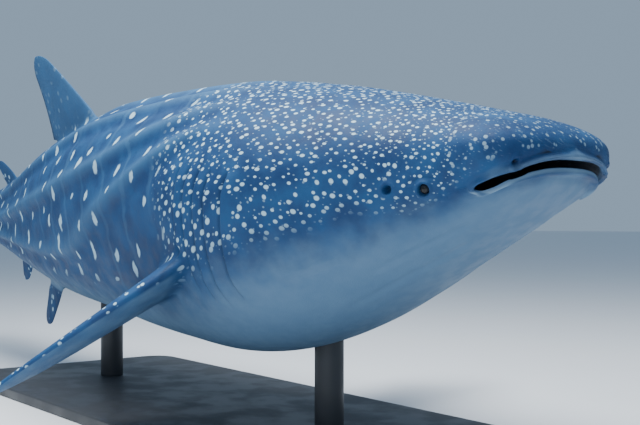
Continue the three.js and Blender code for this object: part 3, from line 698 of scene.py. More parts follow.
def body_mesh():
    """The body from the tail to the inside of the mouth, as one closed skin, in shares."""
    bm = flat_grid(RING_COUNT, 2 * HALF_COLUMNS)
    for name, radius, cuts in FINER_NEAR:
        refine_near(bm, HEAD_POINTS[name], radius, cuts)
    points, station, angle, lip_distance, inside = skin_place(grid_coordinates(bm))
    mesh = mesh_from(bm, "straight_body")
    set_points(mesh, points * TOTAL_LENGTH)
    if faces_inward(mesh):
        mesh.flip_normals()
    normals = mesh_normals(mesh)
    leaned = station + lean_back(station, angle)
    rise = ridge_rise(leaned, angle) + gill_rise(station, angle) + crease_rise(leaned, angle)
    rise = (rise + lip_rise(lip_distance, points) + head_rise(points)) * ~inside
    set_points(mesh, (points + normals * rise[:, None]) * TOTAL_LENGTH)
    close_grid(mesh, 0.0003, lambda vert: vert.is_boundary)
    return mesh


def faces_inward(mesh):
    """True where a wrapped grid faces the inside, judged by the middle of its faces."""
    points, normals = mesh_points(mesh), mesh_normals(mesh)
    middle = points.mean(axis=0)
    return ((points - middle) * normals).sum() < 0


# Points of station, across and height along both edges, thickness in metres at root and tip, how far
# the root goes into the body as a share of the span, and the number of rows.
FINS = {
    "pectoral": {
        "leading": [(0.214, 0.083, -0.0235), (0.243, 0.151, -0.051), (0.322, 0.208, -0.08)],
        "trailing": [(0.294, 0.066, -0.048), (0.305, 0.12, -0.067), (0.338, 0.2, -0.083)],
        "root": 0.235, "tip": 0.036, "sink": 0.3, "spans": 56, "paired": True,
    },
    "pelvic": {
        "leading": [(0.52, 0.03, -0.047), (0.532, 0.038, -0.07), (0.556, 0.04, -0.088)],
        "trailing": [(0.567, 0.024, -0.043), (0.566, 0.029, -0.058), (0.577, 0.036, -0.084)],
        "root": 0.06, "tip": 0.014, "sink": 0.5, "spans": 26, "paired": True,
    },
    "first_dorsal": {
        "leading": [(0.432, 0, 0.074), (0.478, 0, 0.117), (0.522, 0, 0.147)],
        "trailing": [(0.545, 0, 0.054), (0.533, 0, 0.094), (0.549, 0, 0.141)],
        "root": 0.11, "tip": 0.022, "sink": 0.3, "spans": 44, "paired": False,
    },
    "second_dorsal": {
        "leading": [(0.652, 0, 0.034), (0.67, 0, 0.052), (0.696, 0, 0.06)],
        "trailing": [(0.698, 0, 0.025), (0.692, 0, 0.038), (0.708, 0, 0.056)],
        "root": 0.05, "tip": 0.014, "sink": 0.45, "spans": 26, "paired": False,
    },
    "anal": {
        "leading": [(0.664, 0, -0.03), (0.681, 0, -0.053), (0.708, 0, -0.066)],
        "trailing": [(0.705, 0, -0.022), (0.701, 0, -0.039), (0.718, 0, -0.062)],
        "root": 0.046, "tip": 0.014, "sink": 0.45, "spans": 26, "paired": False,
    },
    "tail_upper": {
        "leading": [(0.79, 0, 0.012), (0.87, 0, 0.115), (0.982, 0, 0.2)],
        "trailing": [(0.885, 0, -0.004), (0.898, 0, 0.06), (0.998, 0, 0.192)],
        "root": 0.12, "tip": 0.016, "sink": 0.04, "spans": 60, "paired": False,
    },
    "tail_lower": {
        "leading": [(0.79, 0, -0.008), (0.818, 0, -0.075), (0.872, 0, -0.132)],
        "trailing": [(0.885, 0, 0.006), (0.862, 0, -0.045), (0.885, 0, -0.126)],
        "root": 0.12, "tip": 0.016, "sink": 0.04, "spans": 44, "paired": False,
    },
}
JOIN = {"radius": 0.05, "rounds": 14}
FIN_COLUMNS = 40
TIP_ROUND = 0.16
FIN_STEP = 0.01
# Share of the chord that stays in place where the tip is rounded, and the thinnest a fin gets.
CHORD_MIDDLE = 0.45
LEAST_HALF_THICKNESS = 0.003
# Half thickness along the chord: the first times the share's root, less the others times it and its square.
FIN_PROFILE = (1.612, 0.702, 0.832)
# Powers that crowd the rows to the tip and the columns to the front edge, and thin a fin outward.
FIN_POWERS = {"rows": 1.25, "columns": 1.7, "thinning": 0.7}
BARBEL = {"root": 0.0011, "tip": 0.0004, "length": 0.0052, "offset": (0.0002, 0.0026, -0.0012), "tilt": 168}


def bow(curve, flank, v):
    """Straight points along an edge of a fin, from its three points of station, across and height."""
    a, b, c = (np.array([-s, across * flank, height]) for s, across, height in curve)
    v = np.asarray(v)[:, None]
    return a * (1 - v) ** 2 + b * 2 * v * (1 - v) + c * v * v


def fin_mesh(name, flank):
    """A closed fin with a round front edge and a thin rear edge, in metres, straight."""
    fin = FINS[name]
    bm = flat_grid(fin["spans"], FIN_COLUMNS)
    grid = grid_coordinates(bm)
    even = -fin["sink"] + (1 + fin["sink"]) * (grid[:, 0] + 0.5)
    outer = 1 - np.maximum(1 - even, 0) ** FIN_POWERS["rows"]
    v = np.where(even < 0, even, outer)
    lead, trail = bow(fin["leading"], flank, v), bow(fin["trailing"], flank, v)
    ahead, behind = (
        bow(fin["leading"], flank, place) + bow(fin["trailing"], flank, place)
        for place in (v + FIN_STEP, v - FIN_STEP)
    )
    chord = trail - lead
    normal = np.cross(ahead - behind, chord)
    normal /= np.linalg.norm(normal, axis=1)[:, None]
    reach = np.clip((v - 1 + TIP_ROUND) / TIP_ROUND, 0, 1)
    round_off = np.sqrt(np.maximum(0.004, 1 - reach**2))
    around = grid[:, 1] * 2
    share = np.abs(around) ** FIN_POWERS["columns"]
    side = np.where(np.abs(around) > 0.9999, 0.0, np.sign(around))
    a, b, c = FIN_PROFILE
    profile = a * np.sqrt(share) - b * share - c * share * share
    thickness = fin["root"] + (fin["tip"] - fin["root"]) * np.clip(v, 0, 1) ** FIN_POWERS["thinning"]
    half = np.maximum(thickness / 2 * profile * round_off**0.5, LEAST_HALF_THICKNESS * (share > 0)) / TOTAL_LENGTH
    along = CHORD_MIDDLE + (share - CHORD_MIDDLE) * round_off
    place = lead + chord * along[:, None] + normal * (side * half)[:, None]
    mesh = mesh_from(bm, name)
    set_points(mesh, place * TOTAL_LENGTH)
    close_grid(mesh, 0.0002, lambda vert: True)
    return mesh


def barbel_mesh(flank):
    """The short barbel at the inner side of a nostril."""
    bm = bmesh.new()
    bmesh.ops.create_cone(
        bm, cap_ends=True, segments=20, radius1=BARBEL["root"], radius2=BARBEL["tip"], depth=BARBEL["length"],
    )
    sides = [e for e in bm.edges if abs(e.verts[0].co.z - e.verts[1].co.z) > BARBEL["length"] / 2]
    bmesh.ops.subdivide_edges(bm, edges=sides, cuts=5)
    ahead, inward, up = BARBEL["offset"]
    place = HEAD_POINTS["nostril"][0 if flank > 0 else 1] + Vector((ahead, -flank * inward, up))
    turned = Matrix.Translation(place) @ Matrix.Rotation(math.radians(BARBEL["tilt"]), 4, "Y")
    bmesh.ops.transform(bm, matrix=Matrix.Diagonal([TOTAL_LENGTH] * 3 + [1]) @ turned, verts=bm.verts)
    return mesh_from(bm, "barbel")


def joined_solid(body, parts):
    """The body and its fins as one closed surface without anything inside it."""
    scene = bpy.context.scene
    whole = bpy.data.objects.new("joining", body)
    scene.collection.objects.link(whole)
    helpers = [whole]
    for mesh in parts:
        part = bpy.data.objects.new("joining_part", mesh)
        scene.collection.objects.link(part)
        helpers.append(part)
        union = whole.modifiers.new("union", "BOOLEAN")
        union.operation = "UNION"
        union.solver = "MANIFOLD"
        union.object = part
    graph = bpy.context.evaluated_depsgraph_get()
    graph.update()
    mesh = bpy.data.meshes.new_from_object(whole.evaluated_get(graph))
    for helper in helpers:
        bpy.data.objects.remove(helper)
    return mesh


def soften_joins(mesh, old_points):
    """Smooths the skin where a fin runs into the body, round the points that the union made."""
    known = {tuple(key) for key in np.round(old_points * 5000).astype(int)}
    points = mesh_points(mesh)
    fresh = np.array([tuple(key) not in known for key in np.round(points * 5000).astype(int)])
    tree = KDTree(int(fresh.sum()))
    for number, point in enumerate(points[fresh]):
        tree.insert(point, number)
    tree.balance()
    bm = bmesh.new()
    bm.from_mesh(mesh)
    near = [vert for vert in bm.verts if tree.find(vert.co)[2] < JOIN["radius"]]
    for _ in range(JOIN["rounds"]):
        bmesh.ops.smooth_vert(bm, verts=near, factor=0.5, use_axis_x=True, use_axis_y=True, use_axis_z=True)
    bm.to_mesh(mesh)
    bm.free()


def spot_cells(station, angle, table):
    """How many spots lie before a place along the body, and round it from the back."""
    samples = np.linspace(0, 1, 600)
    spacing = np.interp(samples, table[:, 0], table[:, 1])
    counted = np.concatenate([[0], np.cumsum((samples[1] - samples[0]) / spacing[:-1])])
    width, top, bottom, _ = body_sizes(station)
    girth = np.radians(angle) * (width + top) / 2
    around = girth / np.interp(station, table[:, 0], table[:, 2])
    return np.interp(station, samples, counted), around


def write_attribute(mesh, name, values):
    kind = "FLOAT" if values.ndim == 1 else "FLOAT_VECTOR"
    attribute = mesh.attributes.new(name, kind, "POINT")
    field = "value" if kind == "FLOAT" else "vector"
    attribute.data.foreach_set(field, np.ascontiguousarray(values, dtype=np.float32).ravel())


# How far out of the plain body a fin's own pattern begins, and half the width of the line of painted shade in a
# slit.
FIN_FROM = (1.05, 1.16)
GILL_DARK = 0.0012
# Depths into the mouth over which it darkens, and the stations it spans: painted shade inside the mouth.
MOUTH_DARK = {"depth": (0.035, 0.12), "stations": (0.002, 0.09)}
# The lips' edges are painted pale: partly their own pale tone and partly a painted highlight, brighter on the
# lower lip that faces the light above; the fold at a corner gets a painted highlight.
LIP_LIGHT = {"away": 0.0011, "width": 0.0012, "upper": 0.3, "lower": 0.8, "fold": 0.8}
SPOTLESS_RING = (0.0045, 0.0065)


def mark_skin(mesh):
    """Writes where each point lies on the animal, for the pattern of its skin, its painted highlights and its
    painted shade.
    """
    points = mesh_points(mesh)
    place = points / TOTAL_LENGTH
    normals = mesh_normals(mesh)
    station, angle, reach = girth_of(place)
    upright = upright_station(station, angle)
    head_cells = spot_cells(station, angle, HEAD_SPACING)
    trunk_cells = spot_cells(station, angle, TRUNK_SPACING)
    fin = smooth_step(reach, *FIN_FROM) * (station > 0.2)
    facing = np.where(station < 0.4, normals[:, 2], np.where(np.abs(angle) > 150, normals[:, 2], 1.0))
    paired = (np.abs(place[:, 1]) > 0.022) & (fin > 0)
    under = np.where(paired, smooth_step(-facing, 0.25, 0.75), 0.0)
    border = np.interp(station, BELLY_BORDER[:, 0], BELLY_BORDER[:, 1])
    belly = np.abs(angle) / border
    # A paired fin's underside gets only part of the pale belly colour and stays darker: its own pale underside
    # with painted shade.
    belly = belly + (0.6 + 0.42 * under - belly) * fin
    lowest = np.interp(station, SPOT_BORDER[:, 0], SPOT_BORDER[:, 1])
    spotted = 1 - smooth_step(np.abs(angle) / lowest, 0.9, 1.02)
    spotted = np.clip(spotted * (1 - fin) + fin * (1 - under), 0, 1) * (1 - 3.6 * fin * (1 - fin))
    # Midline fins ahead of station 0.56, the first dorsal, keep only faint spots so that they stay dark: painted
    # shade.
    spotted = spotted * (1 - 0.85 * fin * (np.abs(place[:, 1]) < 0.03) * (station < 0.56))
    # Ridge crests are painted lighter: a painted highlight where they catch the light above.
    light = np.clip(ridge_rise(station, angle) / RIDGE_HEIGHT, 0, 1)
    # Pale lip edges with a painted highlight, and a painted highlight along the fold at each corner.
    away, above, along = from_gap(place)
    lips = bell(away - LIP_LIGHT["away"], LIP_LIGHT["width"]) * (1 - smooth_step(along, 0.97, 1.0))
    lips = lips * (station < 0.036) * np.where(above > 0, LIP_LIGHT["upper"], LIP_LIGHT["lower"])
    rims = np.clip(lips + LIP_LIGHT["fold"] * fold_highlight(station, angle), 0, 1)
    # Painted shade inside the mouth, darker the deeper in.
    front, rear = MOUTH_DARK["stations"]
    dark = smooth_step(1 - reach, *MOUTH_DARK["depth"]) * (station > front) * (station < rear)
    # A dark line of painted shade down the middle of each gill slit.
    for number, slit in enumerate(GILL_STATIONS):
        dark = dark + gill_window(angle, number) * bell(upright - slit - GILL_SLIT["middle"], GILL_DARK)
    for centre in HEAD_POINTS["eye"] + HEAD_POINTS["spiracle"]:
        spotted = spotted * smooth_step(distance_from(place, centre), *SPOTLESS_RING)
    write_attribute(mesh, "head_cells", np.stack([*head_cells, belly], axis=-1))
    write_attribute(mesh, "trunk_cells", np.stack([*trunk_cells, rims], axis=-1))
    write_attribute(mesh, "marks", np.stack([light, fin, np.clip(dark, 0, 1)], axis=-1))
    write_attribute(mesh, "spotted", spotted)
    write_attribute(mesh, "straight", points)


def finish_piece(mesh, name, material, nodes):
    """Puts a piece in the scene, in place of nodes of the CAD model."""
    for polygon in mesh.polygons:
        polygon.use_smooth = True
    mesh.materials.clear()
    mesh.materials.append(material)
    piece = bpy.data.objects.new(name, mesh)
    bpy.context.scene.collection.objects.link(piece)
    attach(piece, "root")
    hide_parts(*nodes)


def set_input(tree, socket, value):
    """Links a socket, or sets a plain value on it."""
    if isinstance(value, bpy.types.NodeSocket):
        tree.links.new(value, socket)
    else:
        socket.default_value = value


def add_node(tree, kind, **settings):
    """A shader node. Settings that begin with in_ go to an input, and others set a property."""
    node = tree.nodes.new(kind)
    for name, value in settings.items():
        if not name.startswith("in_"):
            setattr(node, name, value)
    for name, value in settings.items():
        if name.startswith("in_"):
            key = name[3:]
            set_input(tree, node.inputs[int(key) if key.isdigit() else key.replace("_", " ")], value)
    return node


def math_node(tree, operation, *values):
    inputs = {f"in_{number}": value for number, value in enumerate(values)}
    return add_node(tree, "ShaderNodeMath", operation=operation, **inputs).outputs[0]


def times(tree, first, second):
    return math_node(tree, "MULTIPLY", first, second)


def soft_range(tree, value, low, high, start=0.0, end=1.0):
    node = add_node(
        tree, "ShaderNodeMapRange", interpolation_type="SMOOTHSTEP",
        in_0=value, in_1=low, in_2=high, in_3=start, in_4=end,
    )
    return node.outputs[0]


def mix_value(tree, share, first, second):
    return add_node(tree, "ShaderNodeMix", data_type="FLOAT", in_0=share, in_2=first, in_3=second).outputs[0]


def mix_colour(tree, share, first, second):
    return add_node(tree, "ShaderNodeMix", data_type="RGBA", in_0=share, in_6=first, in_7=second).outputs[2]


def noise(tree, vector, scale, detail, roughness=0.5):
    node = add_node(
        tree, "ShaderNodeTexNoise",
        in_Vector=vector, in_Scale=scale, in_Detail=detail, in_Roughness=roughness,
    )
    return node.outputs["Fac"]


def attribute(tree, name, output="Vector"):
    return add_node(tree, "ShaderNodeAttribute", attribute_name=name).outputs[output]


def parts_of(tree, vector):
    return add_node(tree, "ShaderNodeSeparateXYZ", in_0=vector).outputs


def new_group(name, inputs, outputs):
    """A shader node group. Inputs without a default are vectors, and all others are numbers."""
    group = bpy.data.node_groups.new(name, "ShaderNodeTree")
    for label, default in inputs.items():
        kind = "NodeSocketVector" if default is None else "NodeSocketFloat"
        socket = group.interface.new_socket(name=label, in_out="INPUT", socket_type=kind)
        if default is not None:
            socket.default_value = default
    for label in outputs:
        group.interface.new_socket(name=label, in_out="OUTPUT", socket_type="NodeSocketFloat")
    return group, group.nodes.new("NodeGroupInput").outputs, group.nodes.new("NodeGroupOutput").inputs


def grain_group():
    """Fine grain and slow unevenness of a surface, for roughness and bump."""
    inputs = {"Vector": None, "Fine": 300.0, "Slow": 12.0}
    group, entry, leave = new_group("fine_grain", inputs, ("Height", "Wear"))
    fine = noise(group, entry["Vector"], entry["Fine"], 2.0)
    slow = noise(group, entry["Vector"], entry["Slow"], 5.0)
    group.links.new(math_node(group, "MULTIPLY_ADD", fine, 0.45, slow), leave["Height"])
    group.links.new(soft_range(group, slow, 0.3, 0.7), leave["Wear"])
    return group


def spots_group():
    """Pale spots, one in most cells of a loose lattice that stands on its corners.

    Tall makes the spots longer round the body, and Lean tips them along it."""
    inputs = {
        "Across": 0.0, "Around": 0.0, "Size": 0.3, "Tall": 1.0, "Lean": 0.0, "Loose": 0.8, "Missing": 0.1,
    }
    group, entry, leave = new_group("pale_spots", inputs, ("Mask",))
    first = times(group, math_node(group, "ADD", entry["Across"], entry["Around"]), 0.5)
    second = times(group, math_node(group, "SUBTRACT", entry["Across"], entry["Around"]), 0.5)
    vector = add_node(group, "ShaderNodeCombineXYZ", in_0=first, in_1=second).outputs[0]
    cell = add_node(
        group, "ShaderNodeTexVoronoi", voronoi_dimensions="2D",
        in_Vector=vector, in_Scale=1.0, in_Randomness=entry["Loose"],
    )
    offset = add_node(
        group, "ShaderNodeVectorMath", operation="SUBTRACT", in_0=vector, in_1=cell.outputs["Position"],
    )
    parts = parts_of(group, offset.outputs[0])
    girth = math_node(group, "SUBTRACT", parts[0], parts[1])
    leaned = times(group, girth, entry["Lean"])
    along = math_node(group, "SUBTRACT", math_node(group, "ADD", parts[0], parts[1]), leaned)
    up = math_node(group, "DIVIDE", girth, entry["Tall"])
    flat = add_node(group, "ShaderNodeCombineXYZ", in_0=along, in_1=up).outputs[0]
    away = add_node(group, "ShaderNodeVectorMath", operation="LENGTH", in_0=flat).outputs["Value"]
    chance = add_node(group, "ShaderNodeSeparateColor", in_0=cell.outputs["Color"]).outputs
    size = times(group, entry["Size"], math_node(group, "MULTIPLY_ADD", chance[0], 0.7, 0.65))
    spot = soft_range(group, math_node(group, "DIVIDE", away, size), 1.15, 0.7)
    kept = math_node(group, "GREATER_THAN", chance[1], entry["Missing"])
    group.links.new(times(group, spot, kept), leave["Mask"])
    return group


def shared_group(name, build):
    return bpy.data.node_groups.get(name) or build()


def use_group(tree, group, **inputs):
    return add_node(tree, "ShaderNodeGroup", node_tree=group, **inputs).outputs


def new_material(name):
    material = bpy.data.materials.new(name)
    material.use_nodes = True
    return material, material.node_tree, material.node_tree.nodes["Principled BSDF"]


def uneven_surface(tree, shader, vector, scales, rough, bump=None):
    """Gives a material the shared grain: its range of roughness, and the strength and depth of a bump."""
    grain = shared_group("fine_grain", grain_group)
    surface = use_group(tree, grain, in_Vector=vector, in_Fine=scales[0], in_Slow=scales[1])
    tree.links.new(soft_range(tree, surface["Wear"], 0.0, 1.0, *rough), shader.inputs["Roughness"])
    if bump:
        relief = add_node(
            tree, "ShaderNodeBump", in_Height=surface["Height"], in_Strength=bump[0], in_Distance=bump[1],
        )
        tree.links.new(relief.outputs[0], shader.inputs["Normal"])
    return surface["Wear"]


def colour(value, shade=1.0):
    return (*(shade * part for part in value), 1.0)


def round_spots(tree, vector, scale, outer, inner):
    """Evenly loose spots in space, where cells that follow the body would stretch."""
    cell = add_node(tree, "ShaderNodeTexVoronoi", in_Vector=vector, in_Scale=scale)
    return soft_range(tree, cell.outputs["Distance"], outer, inner)


def spot_pattern(tree, across, around, length, fin):
    """The mask of all spots: on the snout, the head, the trunk and the fins."""
    spots = shared_group("pale_spots", spots_group)
    straight = attribute(tree, "straight")
    head = parts_of(tree, attribute(tree, "head_cells"))
    head_spots = use_group(
        tree, spots, in_Across=head[0], in_Around=head[1],
        in_Size=0.3, in_Tall=0.85, in_Loose=0.75, in_Missing=0.1,
    )["Mask"]
    faint_spots = use_group(
        tree, spots, in_Across=times(tree, head[0], 1.63), in_Around=times(tree, head[1], 1.47),
        in_Size=0.24, in_Tall=0.7, in_Loose=1.0, in_Missing=0.45,
    )["Mask"]
    snout_spots = round_spots(tree, straight, 34.0, 0.33, 0.2)
    head_spots = mix_value(tree, soft_range(tree, length, -0.3, -0.22), head_spots, snout_spots)
    head_spots = math_node(tree, "MAXIMUM", head_spots, times(tree, faint_spots, 0.35))
    head_spots = times(tree, head_spots, soft_range(tree, length, -0.04, -0.32, 0.4, 1.0))
    trunk_spots = use_group(
        tree, spots, in_Across=across, in_Around=around, in_Size=0.145, in_Tall=1.6,
        in_Lean=soft_range(tree, parts_of(tree, attribute(tree, "trunk_cells"))[1], -7.0, 7.0, -0.42, 0.42),
        in_Loose=0.5, in_Missing=0.1,
    )["Mask"]
    body_spots = mix_value(tree, soft_range(tree, length, *BEHIND_GILLS), head_spots, trunk_spots)
    fin_scale = soft_range(tree, length, -2.8, -3.0, 26.0, 16.0)
    return mix_value(tree, fin, body_spots, round_spots(tree, straight, fin_scale, 0.3, 0.18))


def skin_material(settings):
    material, tree, shader = new_material("whale_shark_skin")
    straight = attribute(tree, "straight")
    belly = parts_of(tree, attribute(tree, "head_cells"))[2]
    cell = parts_of(tree, attribute(tree, "trunk_cells"))
    light, fin, dark = parts_of(tree, attribute(tree, "marks"))
    length = parts_of(tree, straight)[0]
    wander = math_node(tree, "MULTIPLY_ADD", noise(tree, straight, 5.0, 3.0), 1.1, -0.55)
    across = math_node(tree, "ADD", cell[0], wander)
    around = math_node(tree, "ADD", cell[1], times(tree, wander, 0.8))
    spots = times(tree, spot_pattern(tree, across, around, length, fin), attribute(tree, "spotted", "Fac"))

    bars = math_node(tree, "SUBTRACT", math_node(tree, "FRACT", times(tree, across, 0.5)), 0.5)
    bars = math_node(tree, "ABSOLUTE", bars)
    broken = soft_range(tree, noise(tree, straight, 3.0, 2.0), 0.32, 0.6)
    broken = times(tree, broken, soft_range(tree, length, *BEHIND_GILLS))
    bars = times(tree, soft_range(tree, bars, 0.085, 0.03), broken)
    bars = times(tree, bars, math_node(tree, "SUBTRACT", 1.0, fin))

    mottle = noise(tree, straight, 7.0, 6.0, 0.6)
    band = colour(settings.bar_and_ridge_highlight_colour)
    uneven = soft_range(tree, mottle, 0.3, 0.72)
    base = mix_colour(tree, uneven, colour(settings.back_dark), colour(settings.back_light))
    # Painted highlight on the ridge crests, in the colour of the thin bars.
    base = mix_colour(tree, times(tree, light, 0.42), base, band)
    base = mix_colour(tree, times(tree, bars, 0.22), base, band)
    # The belly colours are set darker than the pale belly's own tone: painted shade for the underside that the
    # light above misses.
    below = mix_colour(tree, mottle, colour(settings.belly_with_painted_shade), colour(settings.belly_flecks_with_painted_shade))
    border = math_node(tree, "MULTIPLY_ADD", noise(tree, straight, 9.0, 5.0), 0.2, -0.1)
    border = math_node(tree, "ADD", belly, border)
    base = mix_colour(tree, soft_range(tree, border, 0.88, 1.14), base, below)
    base = mix_colour(tree, times(tree, spots, 0.9), base, colour(settings.spot_colour))
    # Pale lip edges with a painted highlight, and the fold's painted highlight.
    base = mix_colour(tree, times(tree, cell[2], 0.75), base, colour(settings.pale_lip_and_highlight_colour))
    # Painted shade inside the mouth and down the gill slits.
    base = mix_colour(tree, times(tree, dark, 0.92), base, colour(settings.inside_colour))
    tree.links.new(base, shader.inputs["Base Color"])
    uneven_surface(tree, shader, straight, scales=(260.0, 14.0), rough=(0.54, 0.7), bump=(0.5, 0.006))
    shader.inputs["Specular IOR Level"].default_value = 0.24
    return material


def eye_material():
    material, tree, shader = new_material("eye_surface")
    facing = attribute(tree, "facing", "Fac")
    place = add_node(tree, "ShaderNodeTexCoord").outputs["Object"]
    ring = mix_colour(tree, noise(tree, place, 700.0, 3.0), EYE_COLOURS["iris_dark"], EYE_COLOURS["iris_light"])
    base = mix_colour(tree, soft_range(tree, facing, 0.7, 0.76), EYE_COLOURS["rim"], ring)
    base = mix_colour(tree, soft_range(tree, facing, 0.885, 0.9), base, EYE_COLOURS["pupil"])
    tree.links.new(base, shader.inputs["Base Color"])
    uneven_surface(tree, shader, place, scales=(900.0, 60.0), rough=(0.06, 0.12))
    shader.inputs["Specular IOR Level"].default_value = 0.3
    shader.inputs["Coat Weight"].default_value = 0.1
    return material


def stand_material(settings):
    material, tree, shader = new_material("painted_stand")
    place = add_node(tree, "ShaderNodeTexCoord").outputs["Object"]
    wear = uneven_surface(tree, shader, place, scales=(420.0, 5.0), rough=(0.4, 0.55), bump=(0.25, 0.0008))
    paint = mix_colour(tree, wear, colour(settings.stand_colour), colour(settings.stand_colour, 1.12))
    tree.links.new(paint, shader.inputs["Base Color"])
    return material


def floor_material(settings):
    material, tree, shader = new_material("pale_floor")
    place = add_node(tree, "ShaderNodeTexCoord").outputs["Object"]
    uneven = noise(tree, place, 1.5, 4.0)
    tint = mix_colour(tree, uneven, colour(settings.floor_colour), colour(settings.floor_colour, 0.97))
    tree.links.new(tint, shader.inputs["Base Color"])
    shader.inputs["Roughness"].default_value = 0.8
    return material


def tint(name, description, *default):
    return FloatVectorProperty(
        name=name, description=description, subtype="COLOR", default=default, min=0, max=1,
    )


def number(name, description, default, low, high, **kind):
    return FloatProperty(name=name, description=description, default=default, min=low, max=high, **kind)


class WhaleSharkSettings(bpy.types.PropertyGroup):
    back_dark: tint("Back, dark", "Darker colour of the back", 0.008, 0.04, 0.125)
    back_light: tint("Back, light", "Lighter colour of the back", 0.016, 0.08, 0.205)
    # The thin bars' own pale colour, also used for the painted highlight on the ridge crests.
    bar_and_ridge_highlight_colour: tint("Bands", "Colour of the ridges and thin bars", 0.075, 0.2, 0.36)
    # Pale lip edges with a painted highlight, and the fold's painted highlight.
    pale_lip_and_highlight_colour: tint("Lip rims", "Colour of the lips' edges and of the fold at a corner", 0.3, 0.46, 0.6)
    spot_colour: tint("Spots", "Colour of the pale spots", 0.5, 0.72, 0.84)
    # Both belly colours are pale tones darkened with painted shade.
    belly_with_painted_shade: tint("Belly", "Colour of the belly", 0.13, 0.23, 0.35)
    belly_flecks_with_painted_shade: tint("Belly, mottled", "Darker flecks of the belly", 0.085, 0.17, 0.285)
    # Near black: painted shade inside the mouth and in the gill slits.
    inside_colour: tint("Inside", "Colour inside the mouth and the gill slits", 0.008, 0.012, 0.02)
    stand_colour: tint("Stand", "Paint of the stand", 0.03, 0.033, 0.038)
    floor_colour: tint("Floor", "Colour of the floor", 0.72, 0.77, 0.82)
    plate_round: number("Plate corner", "Radius of the base plate's corners", 0.16, 0.01, 0.5, unit="LENGTH")
    plate_edge: number("Plate edge", "Rounding of the base plate's rims", 0.01, 0.001, 0.03, unit="LENGTH")
    rod_edge: number("Rod edge", "Rounding of a rod's rims", 0.004, 0.001, 0.01, unit="LENGTH")
    rod_sides: IntProperty(name="Rod sides", description="Flat sides round a rod", default=72, min=24, max=128)
    key_power: number("Key light", "Power of the light above", 1300.0, 0, 5000, unit="POWER")
    fill_power: number("Fill light", "Power of the light beside the camera", 90.0, 0, 5000, unit="POWER")
    lens: number("Lens", "Focal length of the camera, in millimetres", 62.29, 20, 200)


class WHALESHARK_OT_skin(bpy.types.Operator):
    """Build the one skin of the body, head and fins"""

    bl_idname = "whale_shark.skin"
    bl_label = "Skin"

    def execute(self, context):
        parts = []
        for name, fin in FINS.items():
            parts += [fin_mesh(name, flank) for flank in ((1, -1) if fin["paired"] else (1,))]
        parts += [barbel_mesh(flank) for flank in (1, -1)]
        body = body_mesh()
        old_points = np.concatenate([mesh_points(mesh) for mesh in [body, *parts]])
        mesh = joined_solid(body, parts)
        soften_joins(mesh, old_points)
        mark_skin(mesh)
        set_points(mesh, posed(mesh_points(mesh) / TOTAL_LENGTH))
        material = skin_material(context.scene.whale_shark)
        finish_piece(mesh, "whale_shark_skin", material, FLESH_NODES)
        return {"FINISHED"}


class WHALESHARK_OT_eyes(bpy.types.Operator):
    """Build the two eyeballs, set back in their rims"""

    bl_idname = "whale_shark.eyes"
    bl_label = "Eyes"

    def execute(self, context):
        material = eye_material()
        for side, flank in (("left", 1), ("right", -1)):
            bm = bmesh.new()
            bmesh.ops.create_uvsphere(bm, u_segments=56, v_segments=40, radius=1.0)
            facing = np.array([vert.co.z for vert in bm.verts])
            lens = [vert for vert in bm.verts if vert.co.z > LENS_FROM]
            bmesh.ops.scale(bm, vec=(1.0, 1.0, LENS_BULGE), verts=lens)
            sunk = Matrix.Translation((0, 0, -EYE["sunk"]))
            size = Matrix.Diagonal([EYE["radius"] * EYEBALL_SHARE] * 3 + [1])
            outward = skin_frame(EYE["station"], EYE["height"], flank)
            bmesh.ops.transform(bm, matrix=outward @ sunk @ size, verts=bm.verts)
            mesh = mesh_from(bm, f"eyeball_{side}")
            write_attribute(mesh, "facing", facing)
            set_points(mesh, posed(mesh_points(mesh)))
            finish_piece(mesh, f"eyeball_{side}", material, [f"eye_{side}"])
        return {"FINISHED"}


def round_edges(bm, edges, offset, segments):
    bmesh.ops.bevel(
        bm, geom=edges, offset=offset, offset_type="OFFSET", segments=segments,
        profile=0.5, affect="EDGES", material=-1,
    )


def sharp_edges(bm):
    return [edge for edge in bm.edges if edge.calc_face_angle(0.0) > SHARP_ANGLE]


def rod_mesh(node, settings):
    """A rod of the stand, with its sharp rims rounded."""
    low, high = (np.array(corner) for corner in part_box(node))
    radius = (high[0] - low[0]) / 2
    bm = bmesh.new()
    bmesh.ops.create_cone(
        bm, cap_ends=True, segments=settings.rod_sides, radius1=radius, radius2=radius, depth=high[2] - low[2],
    )
    bmesh.ops.translate(bm, vec=(low + high) / 2, verts=bm.verts)
    round_edges(bm, sharp_edges(bm), settings.rod_edge, 3)
    return mesh_from(bm, node)


def plate_mesh(settings):
    low, high = (Vector(corner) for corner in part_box("stand_base"))
    bm = bmesh.new()
    bmesh.ops.create_cube(bm, size=1.0)
    bmesh.ops.scale(bm, vec=high - low, verts=bm.verts)
    bmesh.ops.translate(bm, vec=(low + high) / 2, verts=bm.verts)
    upright = [e for e in bm.edges if abs((e.verts[0].co - e.verts[1].co).normalized().z) > 0.9]
    round_edges(bm, upright, settings.plate_round, 14)
    round_edges(bm, sharp_edges(bm), settings.plate_edge, 4)
    return mesh_from(bm, "base_plate")


class WHALESHARK_OT_stand(bpy.types.Operator):
    """Build the base plate and the two rods of the stand"""

    bl_idname = "whale_shark.stand"
    bl_label = "Stand"

    def execute(self, context):
        settings = context.scene.whale_shark
        material = stand_material(settings)
        finish_piece(plate_mesh(settings), "base_plate", material, ["stand_base"])
        for place in ("front", "rear"):
            node = f"stand_rod_{place}"
            finish_piece(rod_mesh(node, settings), f"support_rod_{place}", material, [node])
        return {"FINISHED"}


def add_light(name, power, place, target, size, light_colour):
    light = bpy.data.lights.new(name, "AREA")
    light.shape = "DISK"
    light.size = size
    light.energy = power
    light.color = light_colour
    lamp = bpy.data.objects.new(name, light)
    lamp.location = place
    lamp.rotation_euler = (Vector(target) - Vector(place)).to_track_quat("-Z", "Y").to_euler()
    bpy.context.scene.collection.objects.link(lamp)


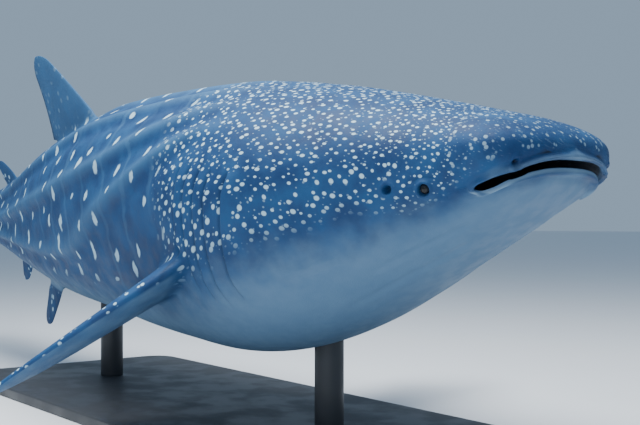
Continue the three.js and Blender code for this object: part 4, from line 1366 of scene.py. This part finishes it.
class WHALESHARK_OT_stage(bpy.types.Operator):
    """Set up the floor, the soft light and the camera"""

    bl_idname = "whale_shark.stage"
    bl_label = "Stage"

    def execute(self, context):
        scene = context.scene
        settings = scene.whale_shark
        bm = bmesh.new()
        bmesh.ops.create_circle(bm, cap_ends=True, segments=96, radius=FLOOR_RADIUS)
        floor = bpy.data.objects.new("floor", mesh_from(bm, "floor"))
        floor.data.materials.append(floor_material(settings))
        scene.collection.objects.link(floor)
        world = bpy.data.worlds.new("studio")
        world.use_nodes = True
        for name, value in SKY.items():
            world.node_tree.nodes["Background"].inputs[name].default_value = value
        scene.world = world
        add_light("light_above", settings.key_power, **KEY_LIGHT)
        add_light("light_beside", settings.fill_power, **FILL_LIGHT)
        camera = bpy.data.objects.new("camera", bpy.data.cameras.new("camera"))
        camera.data.lens = settings.lens
        camera.data.sensor_width = 36.0
        camera.data.clip_end = 200.0
        camera.location = Vector(SNOUT) + CAMERA_FROM_SNOUT
        camera.rotation_euler = (math.radians(90), 0, math.radians(CAMERA_HEADING))
        scene.collection.objects.link(camera)
        scene.camera = camera
        return {"FINISHED"}


class WHALESHARK_PT_panel(bpy.types.Panel):
    bl_label = "Whale Shark"
    bl_idname = "WHALESHARK_PT_panel"
    bl_space_type = "VIEW_3D"
    bl_region_type = "UI"
    bl_category = "Whale Shark"

    def draw(self, context):
        for name in WhaleSharkSettings.__annotations__:
            self.layout.prop(context.scene.whale_shark, name)
        for step in STEPS:
            self.layout.operator(step.bl_idname)


STEPS = (WHALESHARK_OT_skin, WHALESHARK_OT_eyes, WHALESHARK_OT_stand, WHALESHARK_OT_stage)
CLASSES = (WhaleSharkSettings, *STEPS, WHALESHARK_PT_panel)


def register():
    for cls in CLASSES:
        bpy.utils.register_class(cls)
    bpy.types.Scene.whale_shark = PointerProperty(type=WhaleSharkSettings)


def unregister():
    del bpy.types.Scene.whale_shark
    for cls in reversed(CLASSES):
        bpy.utils.unregister_class(cls)


def main():
    register()
    bpy.ops.whale_shark.skin()
    bpy.ops.whale_shark.eyes()
    bpy.ops.whale_shark.stand()
    bpy.ops.whale_shark.stage()


if __name__ == "__main__":
    main()
